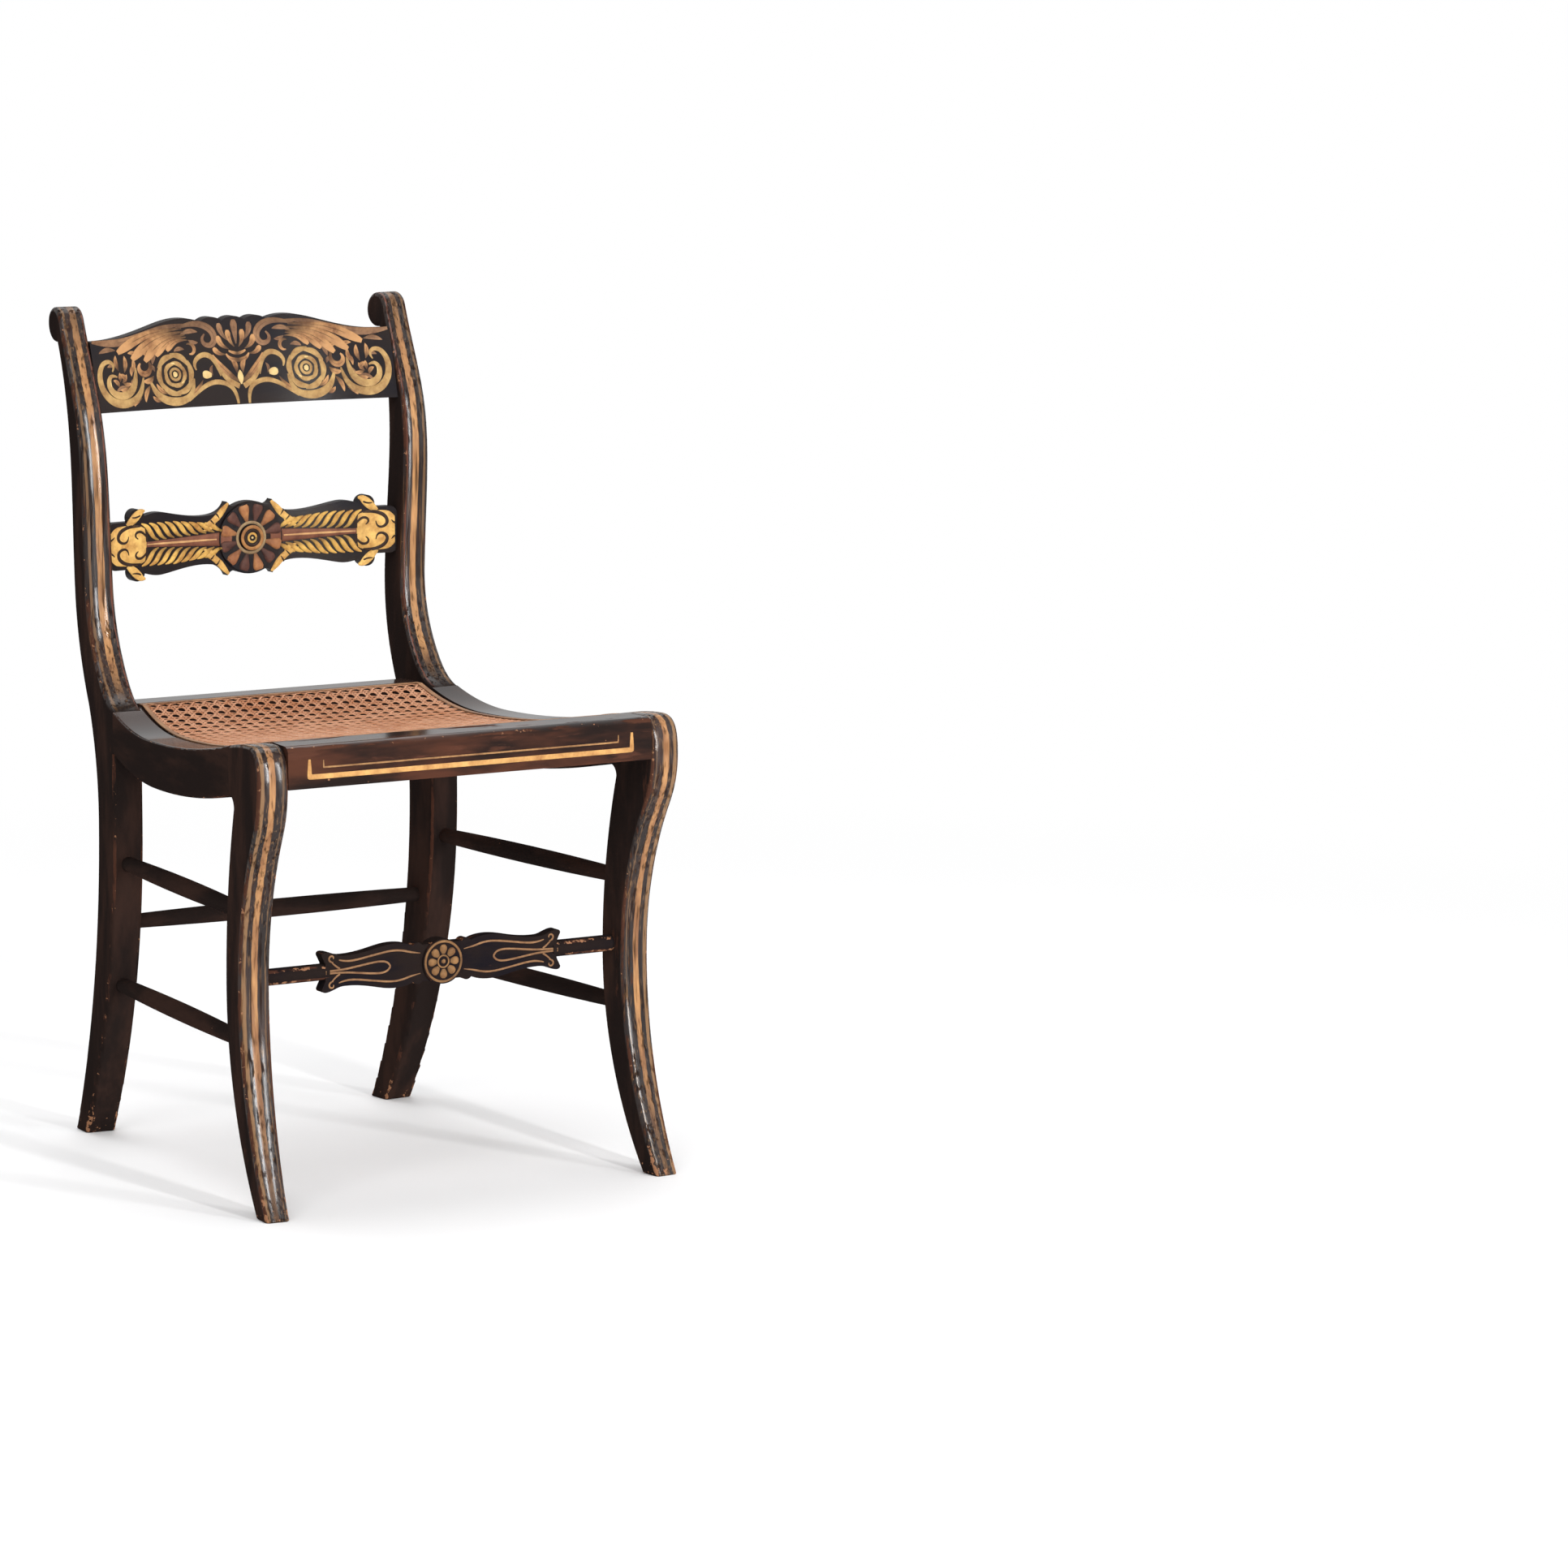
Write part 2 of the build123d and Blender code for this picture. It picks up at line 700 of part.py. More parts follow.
def splat_outline():
    """A disc, then a leaf tip, a waist, a lobe, an ear and a rounded cap on each side of it."""
    meeting = 90 - splat_disc_visible
    disc = CenterArc((0, 0), splat_disc, meeting, splat_disc_visible)
    tip = (splat_leaf_place, splat_leaf)
    waist = (splat_waist_place, splat_waist)
    lobe = (splat_lobe_place, splat_lobe)
    neck = (splat_neck_place, splat_neck)
    ear_end = (splat_ear_end, splat_cap)
    stile = frame_x(stile_front + splat_set_back) - half_thickness + stile_inner_lean(splat_height)
    cap_corner = (stile - splat_cap_round, splat_cap)
    cap_end = (stile, splat_cap - splat_cap_round)
    quarter = [
        disc,
        Spline(disc @ 0, tip, tangents=[(1, -0.4), (0.5, 1)]),
        Spline(tip, waist, lobe, neck, tangents=[(0.4, -1), (1, -0.3)]),
        ThreePointArc(neck, (splat_ear_place, splat_ear), ear_end),
        Line(ear_end, cap_corner),
        TangentArc(cap_corner, cap_end, tangent=(1, 0)),
        Polyline(cap_end, (half_span, cap_end[1]), (half_span, 0)),
    ]
    return all_quarters(quarter, splat_height)


def splat():
    front = stile_front + splat_set_back
    base = splat_height - splat_ear - board_overrun
    board = bent_board(splat_outline(), front, splat_thickness, splat_sag, base, 0)
    face = Pos(0, frame_y(front) + splat_sag, splat_height) * Rot(90, 0, 0)
    disc = face * Cylinder(splat_disc - splat_relief / 2, 2 * splat_relief)
    boss = face * Cylinder(splat_boss, 4 * splat_relief)
    return between_stiles(board) + [disc, boss, splat_tenon(0), on_left(splat_tenon(0))]


# stretchers


def turned_rung(length):
    """A stretcher that swells in the middle, along X and centred, with straight ends for the sockets."""
    half = length / 2
    end = rung_end / 2
    shoulder = half - rung_seat
    profile = outline(
        Polyline((-shoulder, end), (-half, end), (-half, 0), (half, 0), (half, end), (shoulder, end)),
        ThreePointArc((-shoulder, end), (0, rung_middle / 2), (shoulder, end)),
    )
    return revolve(make_face(profile), axis=Axis.X)


def side_stretcher(height):
    front = front_leg_rear(height) - rung_seat
    rear = rear_leg_front(height) + rung_seat
    rung = Rot(0, 0, 90) * turned_rung(rear - front)
    return in_frame(Pos(0, (front + rear) / 2, height) * rung)


def rear_stretcher():
    reach = frame_x(rear_rung_place) - half_thickness + rung_seat
    return Pos(0, frame_y(rear_rung_place), rear_rung_height) * turned_rung(2 * reach)


def board_outline():
    """A bead beside the disc, then a long lobe, a neck and an ear that turns in to the rod."""
    bead_start = (board_bead_place, board_middle)
    bead_end = (board_bead_place + board_bead_width, board_middle)
    lobe = (board_lobe_place, board_lobe)
    neck = (board_neck_place, board_neck)
    ear_side = (board_half, front_rod)
    quarter = [
        Line((0, board_middle), bead_start),
        ThreePointArc(bead_start, (board_bead_place + board_bead_width / 2, board_bead), bead_end),
        Spline(bead_end, lobe, neck, tangents=[(1, 0.5), (1, 0)]),
        Spline(neck, (board_ear_place, board_ear), ear_side, tangents=[(1, 0), (0, -1)]),
        Line(ear_side, (board_half - board_notch, front_rod / 2)),
        Line((board_half - board_notch, front_rod / 2), (board_half - board_notch, 0)),
    ]
    return all_quarters(quarter, front_rung_height)


def front_stretcher():
    y = frame_y(front_rung_place)
    reach = frame_x(front_rung_place) - half_thickness + rung_seat
    shoulder = reach - rung_seat - front_rod_clear
    root = board_half - 2 * board_notch
    turned = Polyline(
        (root, 0), (root, front_rod / 2), (shoulder, front_rod / 2), (shoulder, rung_end / 2),
        (reach, rung_end / 2), (reach, 0), close=True,
    )
    rod = Pos(0, y, front_rung_height) * revolve(make_face(turned), axis=Axis.X)
    board = front_slab(board_outline(), y - board_thickness / 2, y + board_thickness / 2)
    disc = Pos(0, y, front_rung_height) * Rot(90, 0, 0) * Cylinder(front_disc, front_disc_thickness)
    return board + [disc, rod, on_left(rod)]


def pair(name, piece):
    return {f"{name}_right": piece, f"{name}_left": on_left(piece)}


def all_pieces():
    return {
        **pair("rear_post", rear_post()),
        **pair("front_leg", front_leg()),
        **pair("side_rail", side_rail()),
        **pair("upper_side_stretcher", side_stretcher(upper_rung_height)),
        **pair("lower_side_stretcher", side_stretcher(lower_rung_height)),
        **pair("side_binder", side_binder()),
        "front_rail": front_rail(),
        "rear_rail": rear_rail(),
        "front_binder": end_binder(front_hole_row),
        "rear_binder": end_binder(rear_hole_row),
        "cane_panel": cane_panel(),
        "crest_rail": crest_rail(),
        "mid_splat": splat(),
        "front_stretcher": front_stretcher(),
        "rear_stretcher": rear_stretcher(),
    }


if __name__ == "__main__":
    os.makedirs("parts", exist_ok=True)
    for name, piece in all_pieces().items():
        piece.label = name
        export_step(piece, f"parts/{name}.step")
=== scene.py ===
from math import cos, pi, radians, sin, sqrt

import bpy
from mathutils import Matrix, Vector
from mathutils.kdtree import KDTree


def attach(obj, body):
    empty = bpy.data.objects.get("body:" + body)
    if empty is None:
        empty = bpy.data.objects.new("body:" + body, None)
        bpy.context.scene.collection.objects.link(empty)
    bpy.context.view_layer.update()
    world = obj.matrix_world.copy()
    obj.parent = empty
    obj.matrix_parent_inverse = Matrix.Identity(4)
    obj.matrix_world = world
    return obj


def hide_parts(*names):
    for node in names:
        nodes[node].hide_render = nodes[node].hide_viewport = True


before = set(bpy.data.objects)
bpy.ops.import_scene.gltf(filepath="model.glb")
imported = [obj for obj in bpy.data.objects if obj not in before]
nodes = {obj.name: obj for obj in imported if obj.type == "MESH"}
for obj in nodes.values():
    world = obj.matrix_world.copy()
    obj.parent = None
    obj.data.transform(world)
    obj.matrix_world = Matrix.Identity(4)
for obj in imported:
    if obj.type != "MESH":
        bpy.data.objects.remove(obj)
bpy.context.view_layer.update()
mm = 0.001

# the chair's own measures that the pieces below share, in mm
chair = {
    "sideSplay": 5.2,           # degrees each side frame turns inward toward the back
    "halfSpan": 190.6,          # from the middle to a side frame at mid seat
    "halfThickness": 16.0,      # of a post or leg
    "seatLow": 427.5, "seatLowPlace": 31.0,
    "headRear": -190.0, "seatFrontRise": 23.5, "headRise": 5.5, "headRun": 51.0,
    "seatRear": 133.4, "stilePlace": 123.5, "seatRearRise": 15.1,
    "stileFoot": 442.6, "height": 836.5, "leanIn": 16.0, "leanOut": 11.0,
    "waist": 215.0, "footTaper": 3.5,
    "frontRailTop": 456.5, "frontRailHeight": 41.0,
}
turn = radians(chair["sideSplay"])


# working habits: select, convert, place

def deselectAll():
    if bpy.context.object and bpy.context.object.mode != "OBJECT":
        bpy.ops.object.mode_set(mode="OBJECT")
    bpy.ops.object.select_all(action="DESELECT")


def toMesh(name, curve):
    piece = bpy.data.objects.new(name, curve)
    bpy.context.collection.objects.link(piece)
    deselectAll()
    piece.select_set(True)
    bpy.context.view_layer.objects.active = piece
    bpy.ops.object.convert(target="MESH")
    return bpy.context.object


def sectionOf(name, outline):
    # a closed outline that curves are bevelled with
    line = bpy.data.curves.new(name + "Section", "CURVE")
    spline = line.splines.new("POLY")
    spline.points.add(len(outline) - 1)
    for point, (across, up) in zip(spline.points, outline):
        point.co = (across * mm, up * mm, 0, 1)
    spline.use_cyclic_u = True
    return bpy.data.objects.new(name + "Section", line)


def bentAway(run, sweep, at):
    # how far an arc that starts level has bent at a distance along it
    radius = (run * run + sweep * sweep) / (2 * sweep)
    return radius - sqrt(max(radius * radius - at * at, 0))


def shareOf(at, start, run):
    # how far along a run a place lies, from 0 to 1
    return min(max((at - start) / run, 0), 1)


def seatHeight(y):
    # the seat dips behind its middle and rises to both ends
    if y < chair["seatLowPlace"]:
        run = chair["seatLowPlace"] - chair["headRear"]
        rise = bentAway(run, chair["seatFrontRise"], min(chair["seatLowPlace"] - y, run))
        over = shareOf(-y, -chair["headRear"], chair["headRun"])
        return chair["seatLow"] + rise + chair["headRise"] * (1 - (1 - over) ** 2)
    at = min(y, chair["seatRear"]) - chair["seatLowPlace"]
    return chair["seatLow"] + bentAway(chair["stilePlace"] - chair["seatLowPlace"], chair["seatRearRise"], at)


# shader helpers

def newGroup(name, inputs, outputs):
    group = bpy.data.node_groups.new(name, "ShaderNodeTree")
    for label, kind, value in inputs:
        socket = group.interface.new_socket(label, in_out="INPUT", socket_type="NodeSocket" + kind)
        if value is not None:
            socket.default_value = value
    for label, kind in outputs:
        group.interface.new_socket(label, in_out="OUTPUT", socket_type="NodeSocket" + kind)
    return group, group.nodes.new("NodeGroupInput").outputs, group.nodes.new("NodeGroupOutput").inputs


def feed(tree, socket, value):
    # a link from another node's output, or a plain value
    if isinstance(value, bpy.types.NodeSocket):
        tree.links.new(value, socket)
    elif isinstance(value, tuple) and len(value) == 3 and socket.type == "RGBA":
        socket.default_value = (*value, 1)
    else:
        socket.default_value = value


def calc(tree, kind, first, *others, clamp=False):
    # one operation on a single value, or carried along a row of them
    for other in others or (None,):
        node = tree.nodes.new("ShaderNodeMath")
        node.operation = kind
        feed(tree, node.inputs[0], first)
        if other is not None:
            feed(tree, node.inputs[1], other)
        first = node.outputs[0]
    node.use_clamp = clamp
    return first


def add(tree, *values, clamp=False):
    return calc(tree, "ADD", *values, clamp=clamp)


def minus(tree, *values, clamp=False):
    return calc(tree, "SUBTRACT", *values, clamp=clamp)


def times(tree, *values, clamp=False):
    return calc(tree, "MULTIPLY", *values, clamp=clamp)


def absolute(tree, value):
    return calc(tree, "ABSOLUTE", value)


def ramp(tree, value, low, high, toLow=0.0, toHigh=1.0):
    node = tree.nodes.new("ShaderNodeMapRange")
    node.interpolation_type = "SMOOTHSTEP"
    for socket, each in zip(node.inputs, (value, low, high, toLow, toHigh)):
        feed(tree, socket, each)
    return node.outputs[0]


def blendColours(tree, factor, first, second):
    node = tree.nodes.new("ShaderNodeMix")
    node.data_type = "RGBA"
    feed(tree, node.inputs["Factor"], factor)
    feed(tree, node.inputs["A"], first)
    feed(tree, node.inputs["B"], second)
    return node.outputs["Result"]


def stretched(tree, vector, scale):
    node = tree.nodes.new("ShaderNodeMapping")
    feed(tree, node.inputs["Vector"], vector)
    node.inputs["Scale"].default_value = scale
    return node.outputs["Vector"]


def noise(tree, vector, scale, detail, roughness=0.55):
    node = tree.nodes.new("ShaderNodeTexNoise")
    feed(tree, node.inputs["Vector"], vector)
    node.inputs["Scale"].default_value = scale
    node.inputs["Detail"].default_value = detail
    node.inputs["Roughness"].default_value = roughness
    return node.outputs["Fac"]


def grainNoise(tree, position, squeeze, scale, detail):
    # drawn out along an upright member
    return noise(tree, stretched(tree, position, (1, 1, squeeze)), scale, detail)


def placeGroup(tree, group, **values):
    node = tree.nodes.new("ShaderNodeGroup")
    node.node_tree = group
    for label, value in values.items():
        feed(tree, node.inputs[label], value)
    return node.outputs


def splitAxes(tree, vector):
    split = tree.nodes.new("ShaderNodeSeparateXYZ")
    feed(tree, split.inputs[0], vector)
    return split.outputs


# one painted line along a member: its place and half width are shares of the member's half width
def makePaintedLine():
    inputs = [(label, "Float", 0.0) for label in ("Across", "Place", "Half", "Waver", "Wear")]
    group, given, out = newGroup("paintedLine", inputs, [("Mask", "Float")])
    aside = add(group, minus(group, given["Across"], given["Place"]), given["Waver"])
    mask = ramp(group, minus(group, given["Half"], absolute(group, aside)), -0.015, 0.03)
    kept = minus(group, 1.0, given["Wear"], clamp=True)
    feed(group, out["Mask"], times(group, mask, kept, clamp=True))
    return group


# old paint: how fine each pattern is, and how much wear each input adds to the rubbing and the chips
oldPaint = {
    "drift": 26.0, "streaks": 210.0, "rubs": 42.0, "chips": 150.0, "cracks": 230.0,
    "rubLimit": 0.74, "rubbed": 0.22, "rubbedEdge": 0.16, "rubSoft": 0.09,
    "chipLimit": 0.82, "chipped": 0.2, "chippedEdge": 0.17, "chipSoft": 0.02,
}


def wearLimit(group, limit, face, byFace, edge, byEdge):
    # the noise has to pass a lower limit where there is more wear
    return minus(group, limit, add(group, times(group, face, byFace), times(group, edge, byEdge)))


def makeOldPaint():
    inputs = [("Position", "Vector", None), ("Stretch", "Vector", (1.0, 1.0, 0.25))]
    inputs += [("Rubbed", "Float", 0.3), ("Chipped", "Float", 0.3), ("Edge", "Float", 0.0)]
    labels = ("Drift", "Rub", "Chip", "Crackle", "Gloss")
    group, given, out = newGroup("oldPaint", inputs, [(label, "Float") for label in labels])
    stretch = group.nodes.new("ShaderNodeVectorMath")
    stretch.operation = "MULTIPLY"
    feed(group, stretch.inputs[0], given["Position"])
    feed(group, stretch.inputs[1], given["Stretch"])
    along = stretch.outputs["Vector"]
    drift = noise(group, along, oldPaint["drift"], 4.0, 0.6)
    streak = noise(group, along, oldPaint["streaks"], 3.0, 0.6)
    rubs = noise(group, along, oldPaint["rubs"], 6.0, 0.68)
    shares = (given["Rubbed"], oldPaint["rubbed"], given["Edge"], oldPaint["rubbedEdge"])
    limit = wearLimit(group, oldPaint["rubLimit"], *shares)
    rub = ramp(group, rubs, limit, add(group, limit, oldPaint["rubSoft"]))
    chips = noise(group, given["Position"], oldPaint["chips"], 5.0, 0.62)
    shares = (given["Chipped"], oldPaint["chipped"], given["Edge"], oldPaint["chippedEdge"])
    limit = wearLimit(group, oldPaint["chipLimit"], *shares)
    chip = ramp(group, chips, limit, add(group, limit, oldPaint["chipSoft"]))
    cells = group.nodes.new("ShaderNodeTexVoronoi")
    cells.feature = "DISTANCE_TO_EDGE"
    feed(group, cells.inputs["Vector"], given["Position"])
    cells.inputs["Scale"].default_value = oldPaint["cracks"]
    crack = ramp(group, cells.outputs["Distance"], 0.0, 0.07)
    height = add(group, times(group, crack, 0.35), times(group, streak, 0.5))
    height = minus(group, height, times(group, chip, 0.8))
    gloss = add(group, times(group, drift, 0.22), times(group, streak, 0.14))
    for label, value in zip(labels, (drift, rub, chip, height, gloss)):
        feed(group, out[label], value)
    return group


# bronze powder and gold paint, darker where it is thin
def makeGilding():
    inputs = [("Position", "Vector", None), ("Shade", "Float", 0.5)]
    inputs += [("Light", "Color", None), ("Deep", "Color", None)]
    group, given, out = newGroup("gilding", inputs, [("Colour", "Color"), ("Fleck", "Float")])
    broad = noise(group, given["Position"], 75.0, 3.0, 0.6)
    fleck = noise(group, given["Position"], 420.0, 2.0, 0.5)
    amount = add(group, given["Shade"], times(group, minus(group, broad, 0.5), 2.0))
    amount = add(group, amount, times(group, minus(group, fleck, 0.5), 0.5), clamp=True)
    feed(group, out["Colour"], blendColours(group, amount, given["Deep"], given["Light"]))
    feed(group, out["Fleck"], fleck)
    return group


groups = {"line": makePaintedLine(), "paint": makeOldPaint(), "gilding": makeGilding()}

colours = {
    "black": (0.0175, 0.0122, 0.0110),
    "brown": (0.037, 0.0205, 0.0162),
    "inkBlack": (0.010, 0.0085, 0.011),
    "underRed": (0.088, 0.036, 0.023),
    "railRed": (0.075, 0.030, 0.019),
    "bareWood": (0.30, 0.145, 0.078),
    "goldLight": (0.60, 0.315, 0.125),
    "goldDeep": (0.22, 0.098, 0.042),
    "tan": (0.27, 0.145, 0.065),
    "redLine": (0.16, 0.05, 0.028),
    "caneLight": (0.58, 0.31, 0.19),
    "caneDeep": (0.40, 0.165, 0.078),
    "binderLight": (0.36, 0.2, 0.11),
    "binderDeep": (0.16, 0.08, 0.045),
}
# how rough the paint is, and how much duller it gets where it is rubbed or chipped
paintSkin = {"roughness": 0.16, "rubbedDull": 0.2, "chippedDull": 0.35, "crackle": 0.3, "crackDepth": 0.0003}


def startMaterial(name, roughness=0.35, shine=0.0, coat=0.0):
    material = bpy.data.materials.new(name)
    material.use_nodes = True
    tree = material.node_tree
    shader = tree.nodes["Principled BSDF"]
    shader.inputs["Roughness"].default_value = roughness
    shader.inputs["Specular IOR Level"].default_value = shine
    shader.inputs["Specular Tint"].default_value = (1.0, 0.84, 0.72, 1)
    shader.inputs["Coat Weight"].default_value = coat
    shader.inputs["Coat Roughness"].default_value = 0.15
    return material, tree, shader, tree.nodes.new("ShaderNodeTexCoord").outputs


def bump(tree, height, strength, distance, below=None):
    node = tree.nodes.new("ShaderNodeBump")
    node.inputs["Strength"].default_value = strength
    node.inputs["Distance"].default_value = distance
    feed(tree, node.inputs["Height"], height)
    if below is not None:
        feed(tree, node.inputs["Normal"], below)
    return node.outputs["Normal"]


def paintColours(tree, effect, black, brown):
    # ground paint, its red undercoat where rubbed, bare wood where chipped
    ground = blendColours(tree, ramp(tree, effect["Drift"], 0.42, 0.68), black, brown)
    rubbed = blendColours(tree, times(tree, effect["Rub"], 0.75), ground, colours["underRed"])
    return blendColours(tree, effect["Chip"], rubbed, colours["bareWood"])


def finishPaint(tree, shader, colour, effect, normal=None):
    feed(tree, shader.inputs["Base Color"], colour)
    rubbed = times(tree, effect["Rub"], paintSkin["rubbedDull"])
    dull = add(tree, rubbed, times(tree, effect["Chip"], paintSkin["chippedDull"]))
    roughness = add(tree, effect["Gloss"], paintSkin["roughness"], dull, clamp=True)
    feed(tree, shader.inputs["Roughness"], roughness)
    skin = bump(tree, effect["Crackle"], paintSkin["crackle"], paintSkin["crackDepth"], normal)
    feed(tree, shader.inputs["Normal"], skin)


def plainPaint(name, stretch, rubbed, chipped, tint, coat, topGloss, edgeWear):
    material, tree, shader, where = startMaterial(name, coat=coat)
    # a rounded edge faces along no axis
    facing = splitAxes(tree, where["Normal"])
    flatness = calc(tree, "MAXIMUM", *[absolute(tree, facing[axis]) for axis in "XYZ"])
    edge = ramp(tree, flatness, 0.95, 0.8, 0.0, edgeWear)
    wear = {"Rubbed": rubbed, "Chipped": chipped, "Edge": edge}
    effect = placeGroup(tree, groups["paint"], Position=where["Object"], Stretch=stretch, **wear)
    finishPaint(tree, shader, paintColours(tree, effect, colours["black"], colours[tint]), effect)
    if topGloss:
        varnish = ramp(tree, facing["Z"], 0.4, 0.9, coat, topGloss)
        feed(tree, shader.inputs["Coat Weight"], minus(tree, varnish, effect["Rub"], clamp=True))
    return material


def frameCoords(tree, position):
    # where a point lies in its side frame: across its thickness, and up
    spot = splitAxes(tree, position)
    side = minus(tree, absolute(tree, spot["X"]), chair["halfSpan"] * mm)
    across = add(tree, times(tree, side, cos(turn)), times(tree, spot["Y"], sin(turn)))
    return across, spot["Z"]


def frameFacing(tree, position, normal):
    # how far a surface looks forward, outward and up in its own side frame
    facing = splitAxes(tree, normal)
    outward = times(tree, facing["X"], calc(tree, "SIGN", splitAxes(tree, position)["X"]))
    forward = minus(tree, times(tree, outward, sin(turn)), times(tree, facing["Y"], cos(turn)))
    return forward, outward, facing["Z"]


def acrossStile(tree, across, height):
    # the stile leans outward and narrows a little on its way up
    up = calc(tree, "MAXIMUM", minus(tree, height, chair["stileFoot"] * mm), 0.0)
    share = calc(tree, "DIVIDE", up, (chair["height"] - chair["stileFoot"]) * mm)
    middle = times(tree, share, (chair["leanIn"] + chair["leanOut"]) / 2 * mm)
    narrower = times(tree, share, (chair["leanIn"] - chair["leanOut"]) / 2 * mm)
    half = minus(tree, chair["halfThickness"] * mm, narrower)
    return calc(tree, "DIVIDE", minus(tree, across, middle), half)


def acrossLeg(tree, across, height):
    # the leg narrows below its waist
    down = minus(tree, 1.0, calc(tree, "DIVIDE", height, chair["waist"] * mm), clamp=True)
    narrower = times(tree, times(tree, down, down), chair["footTaper"] * mm)
    return calc(tree, "DIVIDE", across, minus(tree, chair["halfThickness"] * mm, narrower))


# painted lines on the members of the side frames: places run from -1 inside to 1 outside,
# fades run over two heights in metres, and "overTop" gives the facing and the height where lines roll over
stilePaint = {
    "across": acrossStile, "overTop": ((0.0, 0.3), (0.78, 0.80)), "faceFades": ((0.44, 0.452),),
    "outerLine": (0.62, 0.10), "outerShown": 0.5,
    "band": (-0.12, 0.26), "bandFades": ((0.445, 0.495), (0.83, 0.78, 0.35, 0.95)), "shade": 0.42,
    "innerLine": (-0.80, 0.055), "innerColour": "redLine", "innerShown": 0.8,
    "rounding": 0.0020, "rubbed": 0.35, "chipped": 0.1, "streaks": 0.4,
}
legPaint = {
    "across": acrossLeg, "overTop": ((0.2, 0.5), (0.44, 0.45)), "faceFades": (),
    "outerLine": (0.68, 0.13), "outerShown": 0.75,
    "band": (0.04, 0.205), "bandFades": ((0.02, 0.14, 0.25, 1.0),), "shade": 0.22,
    "innerLine": (-0.66, 0.05), "innerColour": "tan", "innerShown": 0.35,
    "rounding": 0.0018, "rubbed": 0.55, "chipped": 0.14, "streaks": 0.5,
}


# how far a line strays and frays, as shares of the member's half width, and how much of it is lost
lineWear = {"wander": 0.14, "frayed": 0.17, "rubbed": 0.85, "scratched": 0.75, "varnish": 0.6}


def linedPaint(name, paint):
    material, tree, shader, where = startMaterial(name)
    position = where["Object"]
    across, height = frameCoords(tree, position)
    across = paint["across"](tree, across, height)
    forward, outward, upward = frameFacing(tree, position, where["Normal"])
    # the lines run up the front and over the scroll or the head
    facingUp, highUp = paint["overTop"]
    overTop = times(tree, ramp(tree, upward, *facingUp), ramp(tree, height, *highUp))
    onFace = calc(tree, "MAXIMUM", ramp(tree, forward, 0.15, 0.4), overTop)
    for fade in paint["faceFades"]:
        onFace = times(tree, onFace, ramp(tree, height, *fade))
    # edges wear most, and the foot is chipped
    edge = ramp(tree, times(tree, absolute(tree, forward), absolute(tree, outward)), 0.12, 0.42)
    chipped = add(tree, paint["chipped"], times(tree, ramp(tree, height, 0.05, 0.0), 0.9))
    wear = {"Rubbed": paint["rubbed"], "Chipped": chipped, "Edge": edge}
    effect = placeGroup(tree, groups["paint"], Position=position, **wear)
    # lines waver slowly, have ragged edges and are scratched lengthways
    wander = minus(tree, grainNoise(tree, position, 0.2, 30.0, 3.0), 0.5)
    frayed = minus(tree, grainNoise(tree, position, 0.07, 260.0, 2.0), 0.5)
    waver = add(tree, times(tree, wander, lineWear["wander"]), times(tree, frayed, lineWear["frayed"]))
    scratch = ramp(tree, grainNoise(tree, position, 0.05, 330.0, 2.0), 0.5, 0.68)
    scratched = times(tree, scratch, lineWear["scratched"])
    worn = add(tree, times(tree, effect["Rub"], lineWear["rubbed"]), effect["Chip"], scratched, clamp=True)
    lines = {}
    for label in ("outerLine", "band", "innerLine"):
        place, half = paint[label]
        line = placeGroup(tree, groups["line"], Across=across, Place=place, Half=half, Waver=waver, Wear=worn)
        lines[label] = times(tree, line["Mask"], onFace)
    for fade in paint["bandFades"]:
        lines["band"] = times(tree, lines["band"], ramp(tree, height, *fade))
    tones = {"Light": colours["goldLight"], "Deep": colours["goldDeep"], "Shade": paint["shade"]}
    gold = placeGroup(tree, groups["gilding"], Position=stretched(tree, position, (1, 1, 0.2)), **tones)
    # long scratches let the tan undercoat through, and the lines lie over it
    streaks = ramp(tree, grainNoise(tree, position, 0.035, 480.0, 3.0), 0.54, 0.74)
    colour = paintColours(tree, effect, colours["black"], colours["brown"])
    layers = (
        (times(tree, streaks, onFace, paint["streaks"]), colours["tan"]),
        (times(tree, lines["outerLine"], paint["outerShown"]), colours["tan"]),
        (times(tree, lines["innerLine"], paint["innerShown"]), colours[paint["innerColour"]]),
        (lines["band"], gold["Colour"]),
    )
    for mask, layer in layers:
        colour = blendColours(tree, mask, colour, layer)
    # the face is slightly rounded across
    crown = times(tree, minus(tree, 1.0, times(tree, across, across)), ramp(tree, forward, -0.1, 0.4))
    rounded = bump(tree, crown, 1.0, paint["rounding"])
    finishPaint(tree, shader, colour, effect, rounded)
    # varnish is left on the faces that carry the lines, and worn off the sides
    varnish = times(tree, onFace, minus(tree, lineWear["varnish"], worn, clamp=True))
    feed(tree, shader.inputs["Coat Weight"], varnish)
    feed(tree, shader.inputs["Coat Normal"], rounded)
    return material


def caneMaterial(name, light, deep, stretch):
    material, tree, shader, where = startMaterial(name, 0.4, 0.05)
    along = stretched(tree, where["Object"], stretch)
    shade = noise(tree, along, 95.0, 4.0, 0.6)
    broad = noise(tree, where["Object"], 14.0, 2.0, 0.5)
    mixed = add(tree, times(tree, shade, 0.75), times(tree, broad, 0.35), clamp=True)
    colour = blendColours(tree, ramp(tree, mixed, 0.35, 0.72), colours[deep], colours[light])
    feed(tree, shader.inputs["Base Color"], colour)
    feed(tree, shader.inputs["Roughness"], add(tree, 0.3, times(tree, shade, 0.25)))
    feed(tree, shader.inputs["Normal"], bump(tree, noise(tree, along, 700.0, 2.0), 0.25, 0.0002))
    return material


